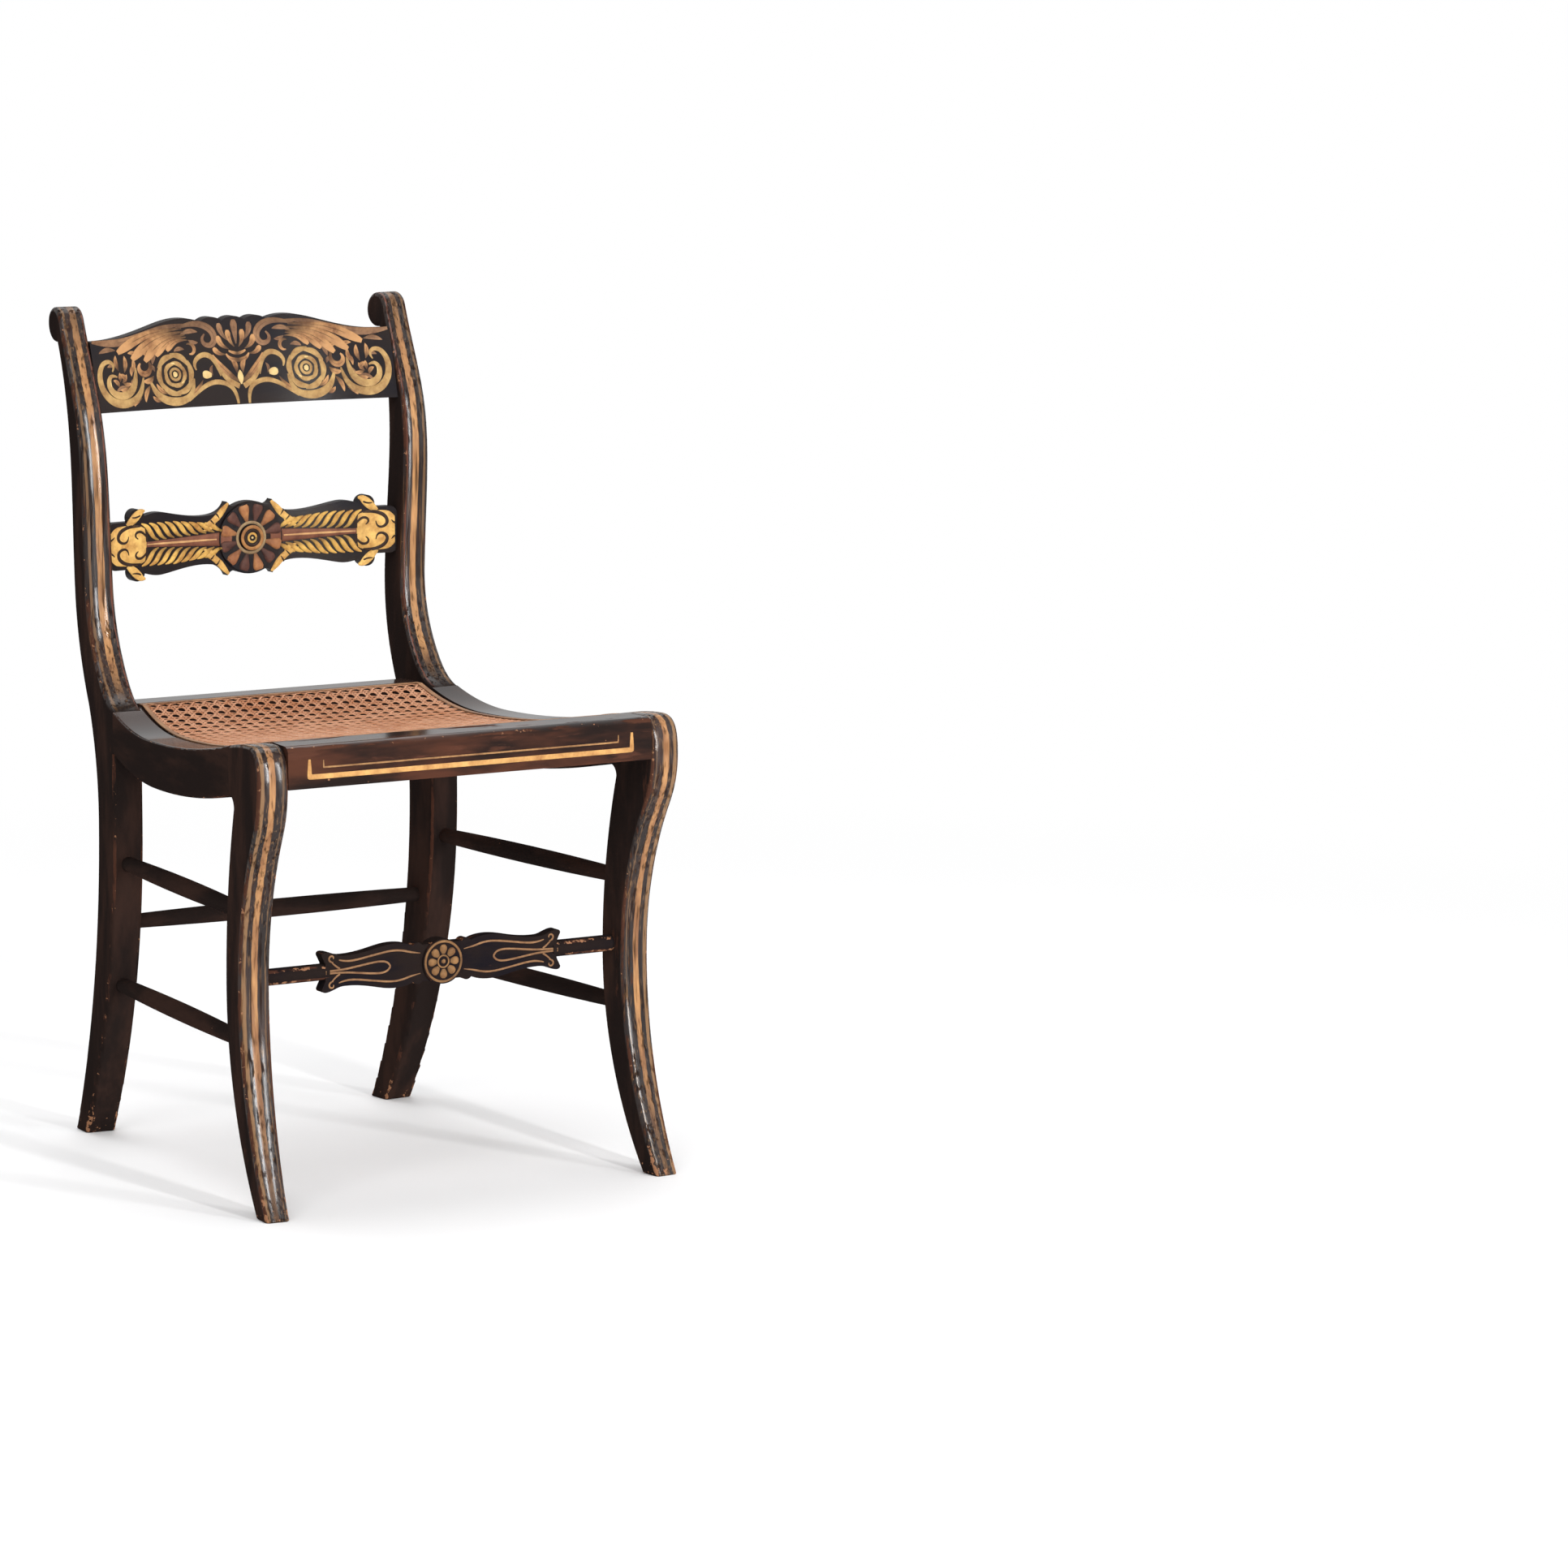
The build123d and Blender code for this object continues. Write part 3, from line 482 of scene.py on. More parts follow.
# stretch of the wear along a member, rubbed, chipped, tint, then coat, gloss on top and worn edges
plainPaints = {
    "railPaint": ((0.25, 0.25, 1.0), 0.35, 0.3, "brown", 0.0, 0.65, 0.9),
    "frontRailPaint": ((0.2, 1.0, 1.0), 0.8, 0.5, "railRed", 0.0, 0.6, 0.6),
    "rungPaint": ((0.25, 0.25, 1.0), 0.5, 0.5, "brown", 0.0, 0.0, 0.0),
    "boardPaint": ((0.3, 1.0, 1.0), 0.1, 0.05, "inkBlack", 0.22, 0.0, 0.0),
    "stretcherPaint": ((0.4, 1.0, 1.0), 0.4, 0.3, "inkBlack", 0.0, 0.0, 1.3),
}
materials = {name: plainPaint(name, *numbers) for name, numbers in plainPaints.items()}
materials["stilePaint"] = linedPaint("stilePaint", stilePaint)
materials["legPaint"] = linedPaint("legPaint", legPaint)
materials["wovenCane"] = caneMaterial("wovenCane", "caneLight", "caneDeep", (1.0, 1.0, 1.0))
materials["binderCane"] = caneMaterial("binderCane", "binderLight", "binderDeep", (1.0, 0.15, 1.0))

paintedNodes = {
    "stilePaint": ("rear_post_right", "rear_post_left"),
    "legPaint": ("front_leg_right", "front_leg_left"),
    "railPaint": ("side_rail_right", "side_rail_left", "rear_rail"),
    "rungPaint": (
        "upper_side_stretcher_right", "upper_side_stretcher_left",
        "lower_side_stretcher_right", "lower_side_stretcher_left", "rear_stretcher",
    ),
    "stretcherPaint": ("front_stretcher",),
    "frontRailPaint": ("front_rail",),
    "boardPaint": ("crest_rail", "mid_splat"),
    "binderCane": ("side_binder_right", "side_binder_left", "front_binder", "rear_binder"),
    "wovenCane": ("cane_panel",),
}
for finish, names in paintedNodes.items():
    for name in names:
        slots = nodes[name].data.materials
        slots.clear()
        slots.append(materials[finish])
print("painted the frame")


# woven cane: pairs both ways and a diagonal both ways, ending under the binder

cane = {
    "pitch": 12.7, "pairGap": 3.3, "width": 2.5, "diagonalWidth": 2.3, "thickness": 0.5,
    "frontRow": -216.9, "rearRow": 140.4, "sideAtMiddle": 167.5, "sideSlope": 0.091,
    "middle": -38, "pairs": 16, "diagonals": 34, "shortest": 2, "levelStep": 400,
    # the strands' depth under the rails' tops, and how they pass over one another
    "drop": 0.75, "depth": 1.25, "lowPair": 0.1, "highPair": 0.45, "diagonalDip": 0.1, "wave": 0.42,
}


def clipToSeat(start, way):
    # the length of a line that lies inside the rows of holes
    slope, side = cane["sideSlope"], cane["sideAtMiddle"]
    walls = (((0, -1), -cane["frontRow"]), ((0, 1), cane["rearRow"]), ((1, slope), side), ((-1, slope), side))
    low, high = -1000.0, 1000.0
    for (nx, ny), limit in walls:
        rate = nx * way[0] + ny * way[1]
        room = limit - nx * start[0] - ny * start[1]
        if abs(rate) < 1e-9:
            if room < 0:
                return None
        elif rate > 0:
            high = min(high, room / rate)
        else:
            low = max(low, room / rate)
    return (low, high) if high - low > cane["shortest"] else None


def strand(curve, start, way, steps, lift):
    reach = clipToSeat(start, way)
    if not reach:
        return
    low, high = reach
    count = max(int((high - low) / steps) + 2, 2)
    spline = curve.splines.new("POLY")
    spline.points.add(count - 1)
    for index, point in enumerate(spline.points):
        at = low + (high - low) * index / (count - 1)
        x, y = start[0] + way[0] * at, start[1] + way[1] * at
        point.co = (x * mm, y * mm, (seatHeight(y) - cane["drop"] + lift(x, y)) * mm, 1)


def wavy(place):
    # a diagonal's height as it passes over one pair and under the other
    return -cane["depth"] / 2 - cane["diagonalDip"] + cane["wave"] * cos(2 * pi * place / cane["pitch"])


def weaveCane():
    pitch, gap, deep, back = cane["pitch"], cane["pairGap"] / 2, cane["depth"], cane["middle"]
    curves = []
    for label, width in (("pairs", cane["width"]), ("diagonals", cane["diagonalWidth"])):
        # a flat strip with a gently rounded top
        outline = ((-1, 0), (-0.72, 1), (0.72, 1), (1, 0))
        strip = [(across * width / 2, up * cane["thickness"]) for across, up in outline]
        curve = bpy.data.curves.new(label, "CURVE")
        curve.dimensions = "3D"
        curve.twist_mode = "Z_UP"
        curve.bevel_mode = "OBJECT"
        curve.bevel_object = sectionOf(label, strip)
        curve.use_fill_caps = True
        curves.append(curve)
    pairs, diagonals = curves
    for step in range(-cane["pairs"], cane["pairs"] + 1):
        for side in (-gap, gap):
            strand(pairs, (step * pitch + side, 0), (0, 1), pitch, lambda x, y: -deep + cane["lowPair"])
            start = (0, step * pitch + side + back)
            strand(pairs, start, (1, 0), cane["levelStep"], lambda x, y: -deep + cane["highPair"])
    root = sqrt(0.5)
    for step in range(-cane["diagonals"], cane["diagonals"] + 1):
        half = (step + 0.5) * pitch / 2
        strand(diagonals, (half, half + back), (root, -root), pitch * root / 2, lambda x, y: wavy(y - back))
        strand(diagonals, (half, -half + back), (root, root), pitch * root / 2, lambda x, y: wavy(x))
    made = [toMesh(curve.name, curve) for curve in curves]
    deselectAll()
    for piece in made:
        piece.select_set(True)
    bpy.context.view_layer.objects.active = made[0]
    bpy.ops.object.join()
    woven = bpy.context.object
    woven.name = "wovenCane"
    woven.data.materials.clear()
    woven.data.materials.append(materials["wovenCane"])
    return woven


woven = weaveCane()
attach(woven, "root")
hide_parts("cane_panel")
print("wove the cane,", len(woven.data.polygons), "faces")


# ornament: brush strokes and carved ridges laid on the boards

# the foot lies under the surface by a share of the stroke's half width
stroke = {"foot": -0.15, "resolution": 5, "order": 3, "smoothAngle": 50}
# a leaf's half width at six places from its root to its tip, as shares of its greatest
leafPlaces = (0.0, 0.2, 0.45, 0.68, 0.88, 1.0)
leafForms = {
    "leaf": (0.12, 0.62, 1.0, 0.86, 0.5, 0.08),      # pointed at both ends
    "feather": (0.12, 0.42, 0.7, 0.95, 1.0, 0.45),   # thin root, rounded tip
    "petal": (0.45, 0.75, 1.0, 1.0, 0.85, 0.4),
    "wedge": (0.28, 0.46, 0.72, 0.95, 1.0, 0.72),    # widens to a blunt end
}


# stroke shapes: each gives (u, v, half width) points in mm
def leaf(start, end, width, bow=0.0, form="leaf"):
    (u0, v0), (u1, v1) = start, end
    points = []
    for share, grow in zip(leafPlaces, leafForms[form]):
        away = bow * sin(pi * share)
        u = u0 + (u1 - u0) * share - (v1 - v0) * away
        v = v0 + (v1 - v0) * share + (u1 - u0) * away
        points.append((u, v, width / 2 * grow))
    return points


def curl(middle, radii, angles, width, thin=0.25):
    # part of a spiral, thickest past its middle
    first, last = radii
    low, high = angles
    count = max(int(abs(high - low) / 28) + 2, 4)
    points = []
    for step in range(count):
        share = step / (count - 1)
        radius = first + (last - first) * share
        angle = radians(low + (high - low) * share)
        half = width / 2 * (thin + (1 - thin) * sin(pi * min(share * 1.05, 1)) ** 0.8)
        points.append((middle[0] + radius * cos(angle), middle[1] + radius * sin(angle), max(half, 0.08)))
    return points


def ring(radius, width):
    # a closed stroke runs a little inside its points
    swell = radius * 1.05
    angles = [radians(angle) for angle in range(0, 360, 30)]
    return [(swell * cos(angle), swell * sin(angle), width / 2) for angle in angles]


def petalRing(count, reaches, width, form, firstStep=0.0):
    # petals that stand round the middle, from the nearer reach to the farther
    made = []
    for step in range(count):
        angle = radians(360 * (step + firstStep) / count)
        ends = [(reach * cos(angle), reach * sin(angle)) for reach in reaches]
        made.append(leaf(*ends, width, 0, form))
    return made


def even(places, half):
    return [(u, v, half) for u, v in places]


def raised(points, height, weight=1.0):
    return [(u, v + height, half * weight) for u, v, half in points]


def bothSides(points):
    return [points, [(-u, v, half) for u, v, half in points]]


def fourWays(points):
    turned = [points, [(u, -v, half) for u, v, half in points]]
    return [side for each in turned for side in bothSides(each)]


def repeated(strokes, ways):
    return [turned for points in strokes for turned in ways(points)]


def addStroke(sheet, points, closed=False):
    # a point's radius is the stroke's half width there
    spline = sheet.splines.new("NURBS")
    spline.points.add(len(points) - 1)
    for point, (u, v, half) in zip(spline.points, points):
        point.co = (u * mm, v * mm, 0, 1)
        point.radius = half
    spline.order_u = min(stroke["order"], len(points))
    spline.use_endpoint_u = not closed
    spline.use_cyclic_u = closed


def sightLine(u, v):
    # straight back from well in front of the chair
    return Vector((u, -1.0, v)), Vector((0, 1, 0))


def depthBehind(boards, u, v):
    # how far back the nearest board lies: a ray that slips between two faces is cast again a hair aside
    start, way = sightLine(u, v)
    for aside in (0.0, 3e-5):
        met = [board.ray_cast(start + Vector((aside, 0, aside)), way) for board in boards]
        hits = [(spot - start).length for found, spot, normal, face in met if found]
        if hits:
            return min(hits)
    return None


def layOn(piece, boards, lift):
    # move every point straight back onto the board and keep its height over the surface
    vertices = piece.data.vertices
    depths = [depthBehind(boards, vertex.co.x, vertex.co.y) for vertex in vertices]
    known = KDTree(len(depths))
    for index, depth in enumerate(depths):
        if depth is not None:
            known.insert((vertices[index].co.x, vertices[index].co.y, 0), index)
    known.balance()
    for vertex, depth in zip(vertices, depths):
        u, v, up = vertex.co
        if depth is None:
            # a point past the board's edge goes as deep as the nearest one on the board
            depth = depths[known.find((u, v, 0))[1]]
        start, way = sightLine(u, v)
        vertex.co = start + way * (depth - up - lift * mm)
    piece.data.update()


def layStrokes(name, crown, strokes, boards, finish, lift=0.0, rings=()):
    # a flat sheet of strokes laid on the boards; its crown is a share of each stroke's half width
    foot = stroke["foot"]
    section = [
        (-1, foot), (-0.86, 0.5 * crown), (-0.45, 0.9 * crown), (0, crown),
        (0.45, 0.9 * crown), (0.86, 0.5 * crown), (1, foot),
    ]
    sheet = bpy.data.curves.new(name, "CURVE")
    sheet.dimensions = "2D"
    sheet.fill_mode = "NONE"
    sheet.bevel_mode = "OBJECT"
    sheet.bevel_object = sectionOf(name, section)
    sheet.use_fill_caps = True
    sheet.resolution_u = stroke["resolution"]
    for points in rings:
        addStroke(sheet, points, True)
    for points in strokes:
        addStroke(sheet, points)
    piece = toMesh(name, sheet)
    layOn(piece, boards, lift)
    bpy.ops.object.shade_smooth_by_angle(angle=radians(stroke["smoothAngle"]))
    piece.data.materials.clear()
    piece.data.materials.append(materials[finish])
    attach(piece, "root")
    return piece


# gold strokes: bright along the crown of each stroke, sinking into the ground at its edges and its root; on
# the flat boards this is the stencil's own shading, on the carved splat it is painted shade under and between
# the raised strokes
goldSkin = {"roughness": 0.38, "shine": 0.12, "rim": 0.9, "rubbed": 0.7, "fleck": 0.2, "fleckDepth": 0.0003}


def goldStroke(name, light, deep, ground, edgeDarkAndShade, rootDarkAndShade, shade, veined=0.0, tipLight=0.0):
    material, tree, shader, where = startMaterial(name, goldSkin["roughness"], goldSkin["shine"])
    position = where["Object"]
    # the stroke's own map runs along it, and around its section past seven points
    stroked = splitAxes(tree, where["UV"])
    along = stroked["X"]
    side = absolute(tree, minus(tree, calc(tree, "DIVIDE", stroked["Y"], 6 / 7), 0.5))
    # darker at the stroke's edges and root: stencil shading on the flat boards, painted shade on the carved
    # splat
    rim = ramp(tree, times(tree, side, 2.0), 1.0 - edgeDarkAndShade, 1.0)
    gilt = placeGroup(tree, groups["gilding"], Position=position, Light=light, Deep=deep, Shade=shade)
    root = ramp(tree, along, 0.0, 0.5, rootDarkAndShade, 0.0)
    dark = add(tree, times(tree, rim, goldSkin["rim"]), root, clamp=True)
    if veined:
        vein = ramp(tree, side, 0.05, 0.0, 0.0, veined)
        inner = times(tree, ramp(tree, along, 0.1, 0.25), ramp(tree, along, 0.8, 0.65))
        dark = calc(tree, "MAXIMUM", dark, times(tree, vein, inner))
    worn = placeGroup(tree, groups["paint"], Position=position, Rubbed=0.25, Chipped=0.1)
    dark = calc(tree, "MAXIMUM", dark, times(tree, worn["Rub"], goldSkin["rubbed"]))
    colour = blendColours(tree, dark, gilt["Colour"], colours[ground])
    if tipLight:
        colour = blendColours(tree, ramp(tree, along, 0.55, 0.95, 0.0, tipLight), colour, light)
    feed(tree, shader.inputs["Base Color"], colour)
    feed(tree, shader.inputs["Normal"], bump(tree, gilt["Fleck"], goldSkin["fleck"], goldSkin["fleckDepth"]))
    materials[name] = material


# light and deep gold, ground, how dark edges and root are (painted shade on the carved splat, stencil shading
# elsewhere), share of light, and veins and tips for leaves
crestGolds = {
    "roseGold": ((0.53, 0.345, 0.135), (0.19, 0.09, 0.036), "black", 0.3, 0.15, 0.5),
    "featherGold": ((0.52, 0.28, 0.12), (0.15, 0.062, 0.03), "black", 0.5, 0.75, 0.45, 0.8, 0.75),
    "bronze": ((0.31, 0.17, 0.088), (0.10, 0.047, 0.028), "black", 0.4, 0.4, 0.5, 0.6),
    "creamDot": ((0.70, 0.54, 0.25), (0.48, 0.30, 0.11), "goldDeep", 0.25, 0.0, 0.6),
}
for name, golds in crestGolds.items():
    goldStroke(name, *golds)

crest = {
    "base": 732.5, "crown": 0.07, "weight": 1.15, "rose": (74.0, 33.0), "oval": (37.5, 31.0),
    # root, tip, width and bow of the feathers that fan out from the shoulder
    "feathers": (
        ((60, 77.5), (138, 57.5), 9.6, 0.08), ((58, 74.5), (122, 50), 9.6, 0.10),
        ((57, 71.5), (107, 47.5), 8.8, 0.12), ((56, 69), (93, 52), 7.2, 0.14),
        ((55, 66), (80, 56.5), 6.0, 0.16),
    ),
}


def crestRoses():
    # two turns of petals and a heart
    rose = crest["rose"]
    outer = [curl(rose, (20.0, 18.4), (angle, angle + 74), 6.2, 0.4) for angle in range(20, 380, 60)]
    heart = curl(rose, (5.8, 5.4), (0, 370), 2.6, 0.9)
    inner = [curl(rose, (11.8, 10.6), (angle, angle + 92), 4.4, 0.4) for angle in range(0, 360, 72)]
    return outer + [heart] + inner


def crestLights():
    # cream touches on the button, the berry, the petals and the scrolls
    rose, (u, v) = crest["rose"], crest["oval"]
    made = [
        leaf((rose[0] - 2.4, rose[1]), (rose[0] + 2.4, rose[1]), 5.2, 0, "petal"),
        leaf((u - 5, v - 0.6), (u + 5, v + 0.6), 7.4, 0, "petal"),
    ]
    made += [curl(rose, (19.2, 18.0), (angle, angle + 48), 2.0, 0.3) for angle in (30, 92, 150, 268)]
    made += [curl(rose, (11.6, 10.8), (angle, angle + 60), 1.6, 0.3) for angle in (60, 200)]
    return made + [
        [(117, 15, 0.3), (127, 8.6, 1.3), (140, 6.2, 1.5), (151, 10, 0.9), (157, 16, 0.3)],
        [(162.5, 28, 0.3), (163, 37, 1.2), (158, 46.5, 1.1), (151, 49.5, 0.4)],
        [(64, 8.4, 0.3), (76, 6.2, 1.4), (88, 8.6, 1.2), (96, 14, 0.3)],
        [(30, 49, 0.3), (38, 52, 0.9), (46, 49.5, 0.4)],
        [(9, 15, 0.3), (18, 22.5, 0.8), (29, 24.6, 0.9), (38, 22.6, 0.3)],
        [(150, 34, 0.3), (152, 25, 1.3), (147, 17.5, 1.2), (139, 15.5, 0.4)],
    ]


def crestScrolls():
    return [
        # the loop over the oval, the arch below it and the crescent under the rose
        [
            (22, 29, 0.6), (24.5, 40, 2.0), (30, 48.5, 2.5), (38, 51.5, 2.5),
            (47, 48, 2.2), (51.5, 41, 1.6), (49, 36, 0.6),
        ],
        [
            (6.3, 0.9, 1.2), (6.6, 11, 1.9), (13.5, 20.5, 2.2), (28, 24.2, 2.3),
            (41, 20.5, 2.1), (52, 13.5, 1.6), (62, 6, 0.7),
        ],
        [
            (53, 28, 0.8), (54.5, 17, 2.2), (63, 8, 3.2), (77, 5.6, 4.2),
            (91, 9, 3.8), (101, 18.5, 2.6), (104, 29, 0.9),
        ],
        # the end scroll, the cup beside the middle and the scroll inside the end
        [
            (111.5, 32, 0.8), (114, 20, 2.4), (124, 9.8, 3.4), (139, 6.4, 4.0), (153, 11, 3.8),
            (162, 23, 3.2), (163, 38, 2.8), (157, 48.5, 2.3), (148, 50, 1.8), (143.5, 44, 1.2),
            (147, 39.5, 0.6),
        ],
        [(24, 43, 0.7), (21, 33, 2.0), (13.5, 23.5, 2.6), (2.5, 18, 2.6)],
        [
            (119, 42, 0.8), (120.5, 28, 3.0), (129, 17, 3.8), (141, 14.5, 3.6),
            (151, 20, 3.0), (153.5, 30, 2.4), (148, 37, 1.6), (142, 34, 0.7),
        ],
    ]


def crestLeaves():
    made = [leaf(root, tip, width, bow, "feather") for root, tip, width, bow in crest["feathers"]]
    return made + [
        curl((109.5, 42), (8.6, 5.2), (130, 410), 5.8), curl((53.5, 56.5), (6.2, 4.4), (60, 285), 3.6),
        leaf((101, 47), (110, 56), 4.6, 0.25), leaf((114, 51), (126, 56.5), 4.6, 0.2),
        leaf((99, 33), (112, 28.5), 6.0, -0.2), leaf((118, 45), (125, 34), 4.4, 0.2),
        leaf((43, 26), (61, 11), 4.6, -0.10), leaf((112, 29), (127, 5.5), 5.4, -0.08),
        leaf((104, 24), (112, 8), 5.0, 0.12), leaf((84, 14.5), (97, 25), 4.6, -0.15),
        [(2, 23, 1.2), (9.5, 27.5, 3.0), (19, 36.5, 3.3), (26, 45, 2.1), (28.5, 50, 0.8)],
        leaf((3.5, 31), (8.5, 47), 5.6, 0.12), leaf((126, 36), (121, 51), 5.0, 0.15),
        leaf((133, 38), (131, 54), 5.2, 0.1), leaf((139.5, 40), (141, 55), 5.0, -0.1),
        leaf((132, 29), (139, 36), 5.0, 0.2), leaf((128, 24), (140, 21.5), 5.0, -0.15),
        leaf((141, 24), (147, 31), 4.4, 0.2), leaf((116, 12), (126, 4.5), 5.0, 0.15),
        leaf((93, 8), (103, 13), 4.4, -0.15), leaf((136, 28), (126, 27), 4.2, 0.15),
        leaf((137, 28), (131, 36), 4.2, 0.1), leaf((139, 29), (138.5, 38), 4.0, 0.0),
        # the urn that stands between the arches, with its bands
        [(0, 44, 2.0), (5, 44.2, 2.2), (10.5, 46.5, 1.6), (13, 50.5, 0.6)],
        [(0, 50.5, 1.5), (5.5, 51, 1.6), (9.5, 53.5, 0.7)],
        leaf((2.4, 57), (8, 74), 6.0, -0.12, "feather"), leaf((9, 55), (20.5, 68.5), 6.4, -0.16, "feather"),
        leaf((13, 50), (26.5, 57), 5.4, -0.16, "feather"),
    ]


def crestShadows():
    # the dull bronze under the gold: top feather, shoulder volute, spray of leaves, small fillings
    return [
        [
            (56, 81.5, 0.6), (76, 81, 2.4), (100, 74.6, 3.2),
            (126, 68, 3.6), (150, 66.5, 3.6), (167, 69.5, 1.4),
        ],
        [
            (67, 78, 0.8), (52, 82, 2.3), (36, 81, 3.3), (25.5, 74.5, 3.7), (23, 65, 3.3), (29, 58.8, 2.7),
            (37, 61, 2.1), (38.5, 67.5, 1.5), (34.5, 71, 0.7),
        ],
        leaf((62, 72), (42, 73.5), 5.0, -0.1), leaf((54, 66), (43, 63), 4.0, 0.1),
        leaf((140, 60), (160, 58), 5.0, 0.1), leaf((128, 22), (146, 18), 4.0, 0.2),
        leaf((92, 56), (99, 44), 4.4, 0.1), leaf((9.5, 64), (17, 81), 6.4, -0.12, "feather"),
        leaf((84, 61), (100, 58), 4.0, 0.1), leaf((120, 33), (126, 20), 4.4, 0.15),
        leaf((97, 37), (103, 43), 4.0, 0.2), leaf((60, 57), (72, 55.5), 4.4, 0.15),
        leaf((140, 44), (152, 44), 4.0, 0.15), leaf((31, 30), (30, 40), 3.4, -0.2),
    ]


def stencilCrest():
    # name, finish, strokes for both sides, strokes in the middle, and how far each layer lies over the board
    layers = (
        ("crestBronzeLeaves", "bronze", crestShadows(), [leaf((0, 60), (0, 84), 7.5, 0, "feather")], 0.02),
        ("crestFeathers", "featherGold", crestLeaves(), [], 0.10),
        ("crestRoses", "roseGold", crestScrolls() + crestRoses(), [], 0.16),
        ("crestDots", "creamDot", crestLights(), [leaf((0, 20), (0, 34), 6.4)], 0.24),
    )
    for name, finish, strokes, middle, lift in layers:
        doubled = repeated(strokes, bothSides) + middle
        laid = [raised(points, crest["base"], crest["weight"]) for points in doubled]
        layStrokes(name, crest["crown"], laid, [nodes["crest_rail"]], finish, lift)


stencilCrest()
print("stencilled the crest")


# splat: carved rosette, slanted leaflets, leaf tips and scrolled end caps

splat = {
    "height": 598.0, "petals": 12, "petalReach": (17.0, 34.2), "petalWidth": 13.0,
    "leaflets": 9, "leafletFirst": 40.0, "leafletPitch": 9.2, "leafletWidth": 6.0,
    "leafletBack": 9, "leafletAhead": 10, "edge": 17.2, "edgeSpread": 3.8, "edgeFrom": 42, "edgeRun": 35,
    "ribHalf": 8.2, "ribLoss": 5.2, "ribFrom": 24, "ribRun": 90,
    # radius, width and finish of the turned rings on the boss
    "rings": {
        "rosetteGrey": (15.2, 3.4, "ringGrey"), "rosetteRings": (10.9, 3.8, "ringOrange"),
        "rosetteDark": (7.5, 2.6, "darkLine"), "rosetteEye": (4.3, 2.6, "leafletGold"),
    },
}
# on the carved splat the dark edges and roots of each stroke are painted shade under and between the raised
# carving
splatGolds = {
    "leafletGold": ((0.76, 0.48, 0.12), (0.28, 0.115, 0.03), "black", 0.55, 0.6, 0.5),
    "capGold": ((0.78, 0.49, 0.15), (0.32, 0.135, 0.034), "brown", 0.3, 0.15, 0.6),
    "petalBrown": ((0.42, 0.19, 0.075), (0.15, 0.05, 0.028), "black", 0.5, 0.3, 0.5),
    "petalDark": ((0.13, 0.055, 0.04), (0.045, 0.02, 0.018), "black", 0.6, 0.3, 0.5),
    "ringOrange": ((0.44, 0.22, 0.075), (0.20, 0.08, 0.03), "black", 0.4, 0.0, 0.5),
    "ringGrey": ((0.36, 0.25, 0.13), (0.16, 0.10, 0.055), "black", 0.4, 0.0, 0.5),
    "ribLight": ((0.62, 0.36, 0.16), (0.34, 0.17, 0.075), "underRed", 0.3, 0.0, 0.6),
    "ribBrown": ((0.22, 0.085, 0.048), (0.10, 0.038, 0.026), "black", 0.5, 0.0, 0.5),
    "darkLine": ((0.03, 0.016, 0.012), (0.014, 0.009, 0.008), "black", 0.1, 0.0, 0.6),
}
for name, golds in splatGolds.items():
    goldStroke(name, *golds)


def ribHalf(u):
    # the reddish rib narrows away from the disc
    return splat["ribHalf"] - splat["ribLoss"] * shareOf(u, splat["ribFrom"], splat["ribRun"])


def splatLeaflets():
    # each leans outward from the rib to the board's edge
    made = []
    half = splat["leafletWidth"] / 2
    for step in range(splat["leaflets"]):
        near = splat["leafletFirst"] + splat["leafletPitch"] * step
        u0, u1 = near - splat["leafletBack"], near + splat["leafletAhead"]
        v0 = ribHalf(u0) + 0.4
        v1 = splat["edge"] + splat["edgeSpread"] * shareOf(near, splat["edgeFrom"], splat["edgeRun"])
        root = [(u0, v0, 0.7), (u0 + 5, v0 + 1.6, half * 0.66)]
        tip = [(u1 - 5, v1 - 1.6, half * 0.85), (u1 + 1, v1 + 0.4, 0.6)]
        made.append(root + [((u0 + u1) / 2, (v0 + v1) / 2, half)] + tip)
    return made


# leaf tips beside the disc, and an ear above and below each end cap
splatTips = [
    [(55, 13.5, 0.9), (45, 16, 3.2), (36, 22.5, 3.9), (29.5, 30.2, 3.5), (24, 36, 1.3)],
    [(54, 9, 0.6), (47.5, 10.8, 2.0), (42, 13, 2.6), (39.5, 17.5, 1.2)],
    [(141, 20, 2.6), (135, 25, 5.0), (129, 30.6, 5.0), (124, 34.2, 3.0), (120.5, 34.2, 1.0)],
]
# dark curls that cut the gold end cap into leafy lobes
splatCuts = [
    [
        (121, 18.5, 0.6), (130, 19.6, 1.5), (141, 19, 2.0), (150.5, 14.5, 2.2), (153, 7, 1.9),
        (147, 2.4, 1.5), (140.5, 4.2, 1.1), (139.8, 9.5, 0.5),
    ],
    [(118.6, 8, 1.2), (123.5, 13.6, 1.5), (130.5, 13.4, 1.5), (132.5, 8.6, 1.2), (128.6, 6.2, 0.6)],
    [(118.4, 3, 1.4), (118.2, 10, 1.6), (119.5, 17, 1.5), (121, 21.5, 0.8)],
    [(156.5, 10, 0.4), (158.5, 7.4, 1.1), (161, 6.6, 1.3)],
    # the ear's curl, and notches that make the leaf tip ragged
    [(136, 28.4, 0.5), (130.5, 27.5, 1.3), (126, 30, 0.9)],
    [(52.5, 17.2, 0.9), (49.5, 14.6, 0.9), (47, 12.4, 0.4)],
    [(45.6, 20.6, 1.0), (43, 18.4, 1.0), (40.5, 15.5, 0.4)],
    [(38.6, 26.6, 1.1), (36.6, 24.4, 1.0), (34.6, 21, 0.4)],
]


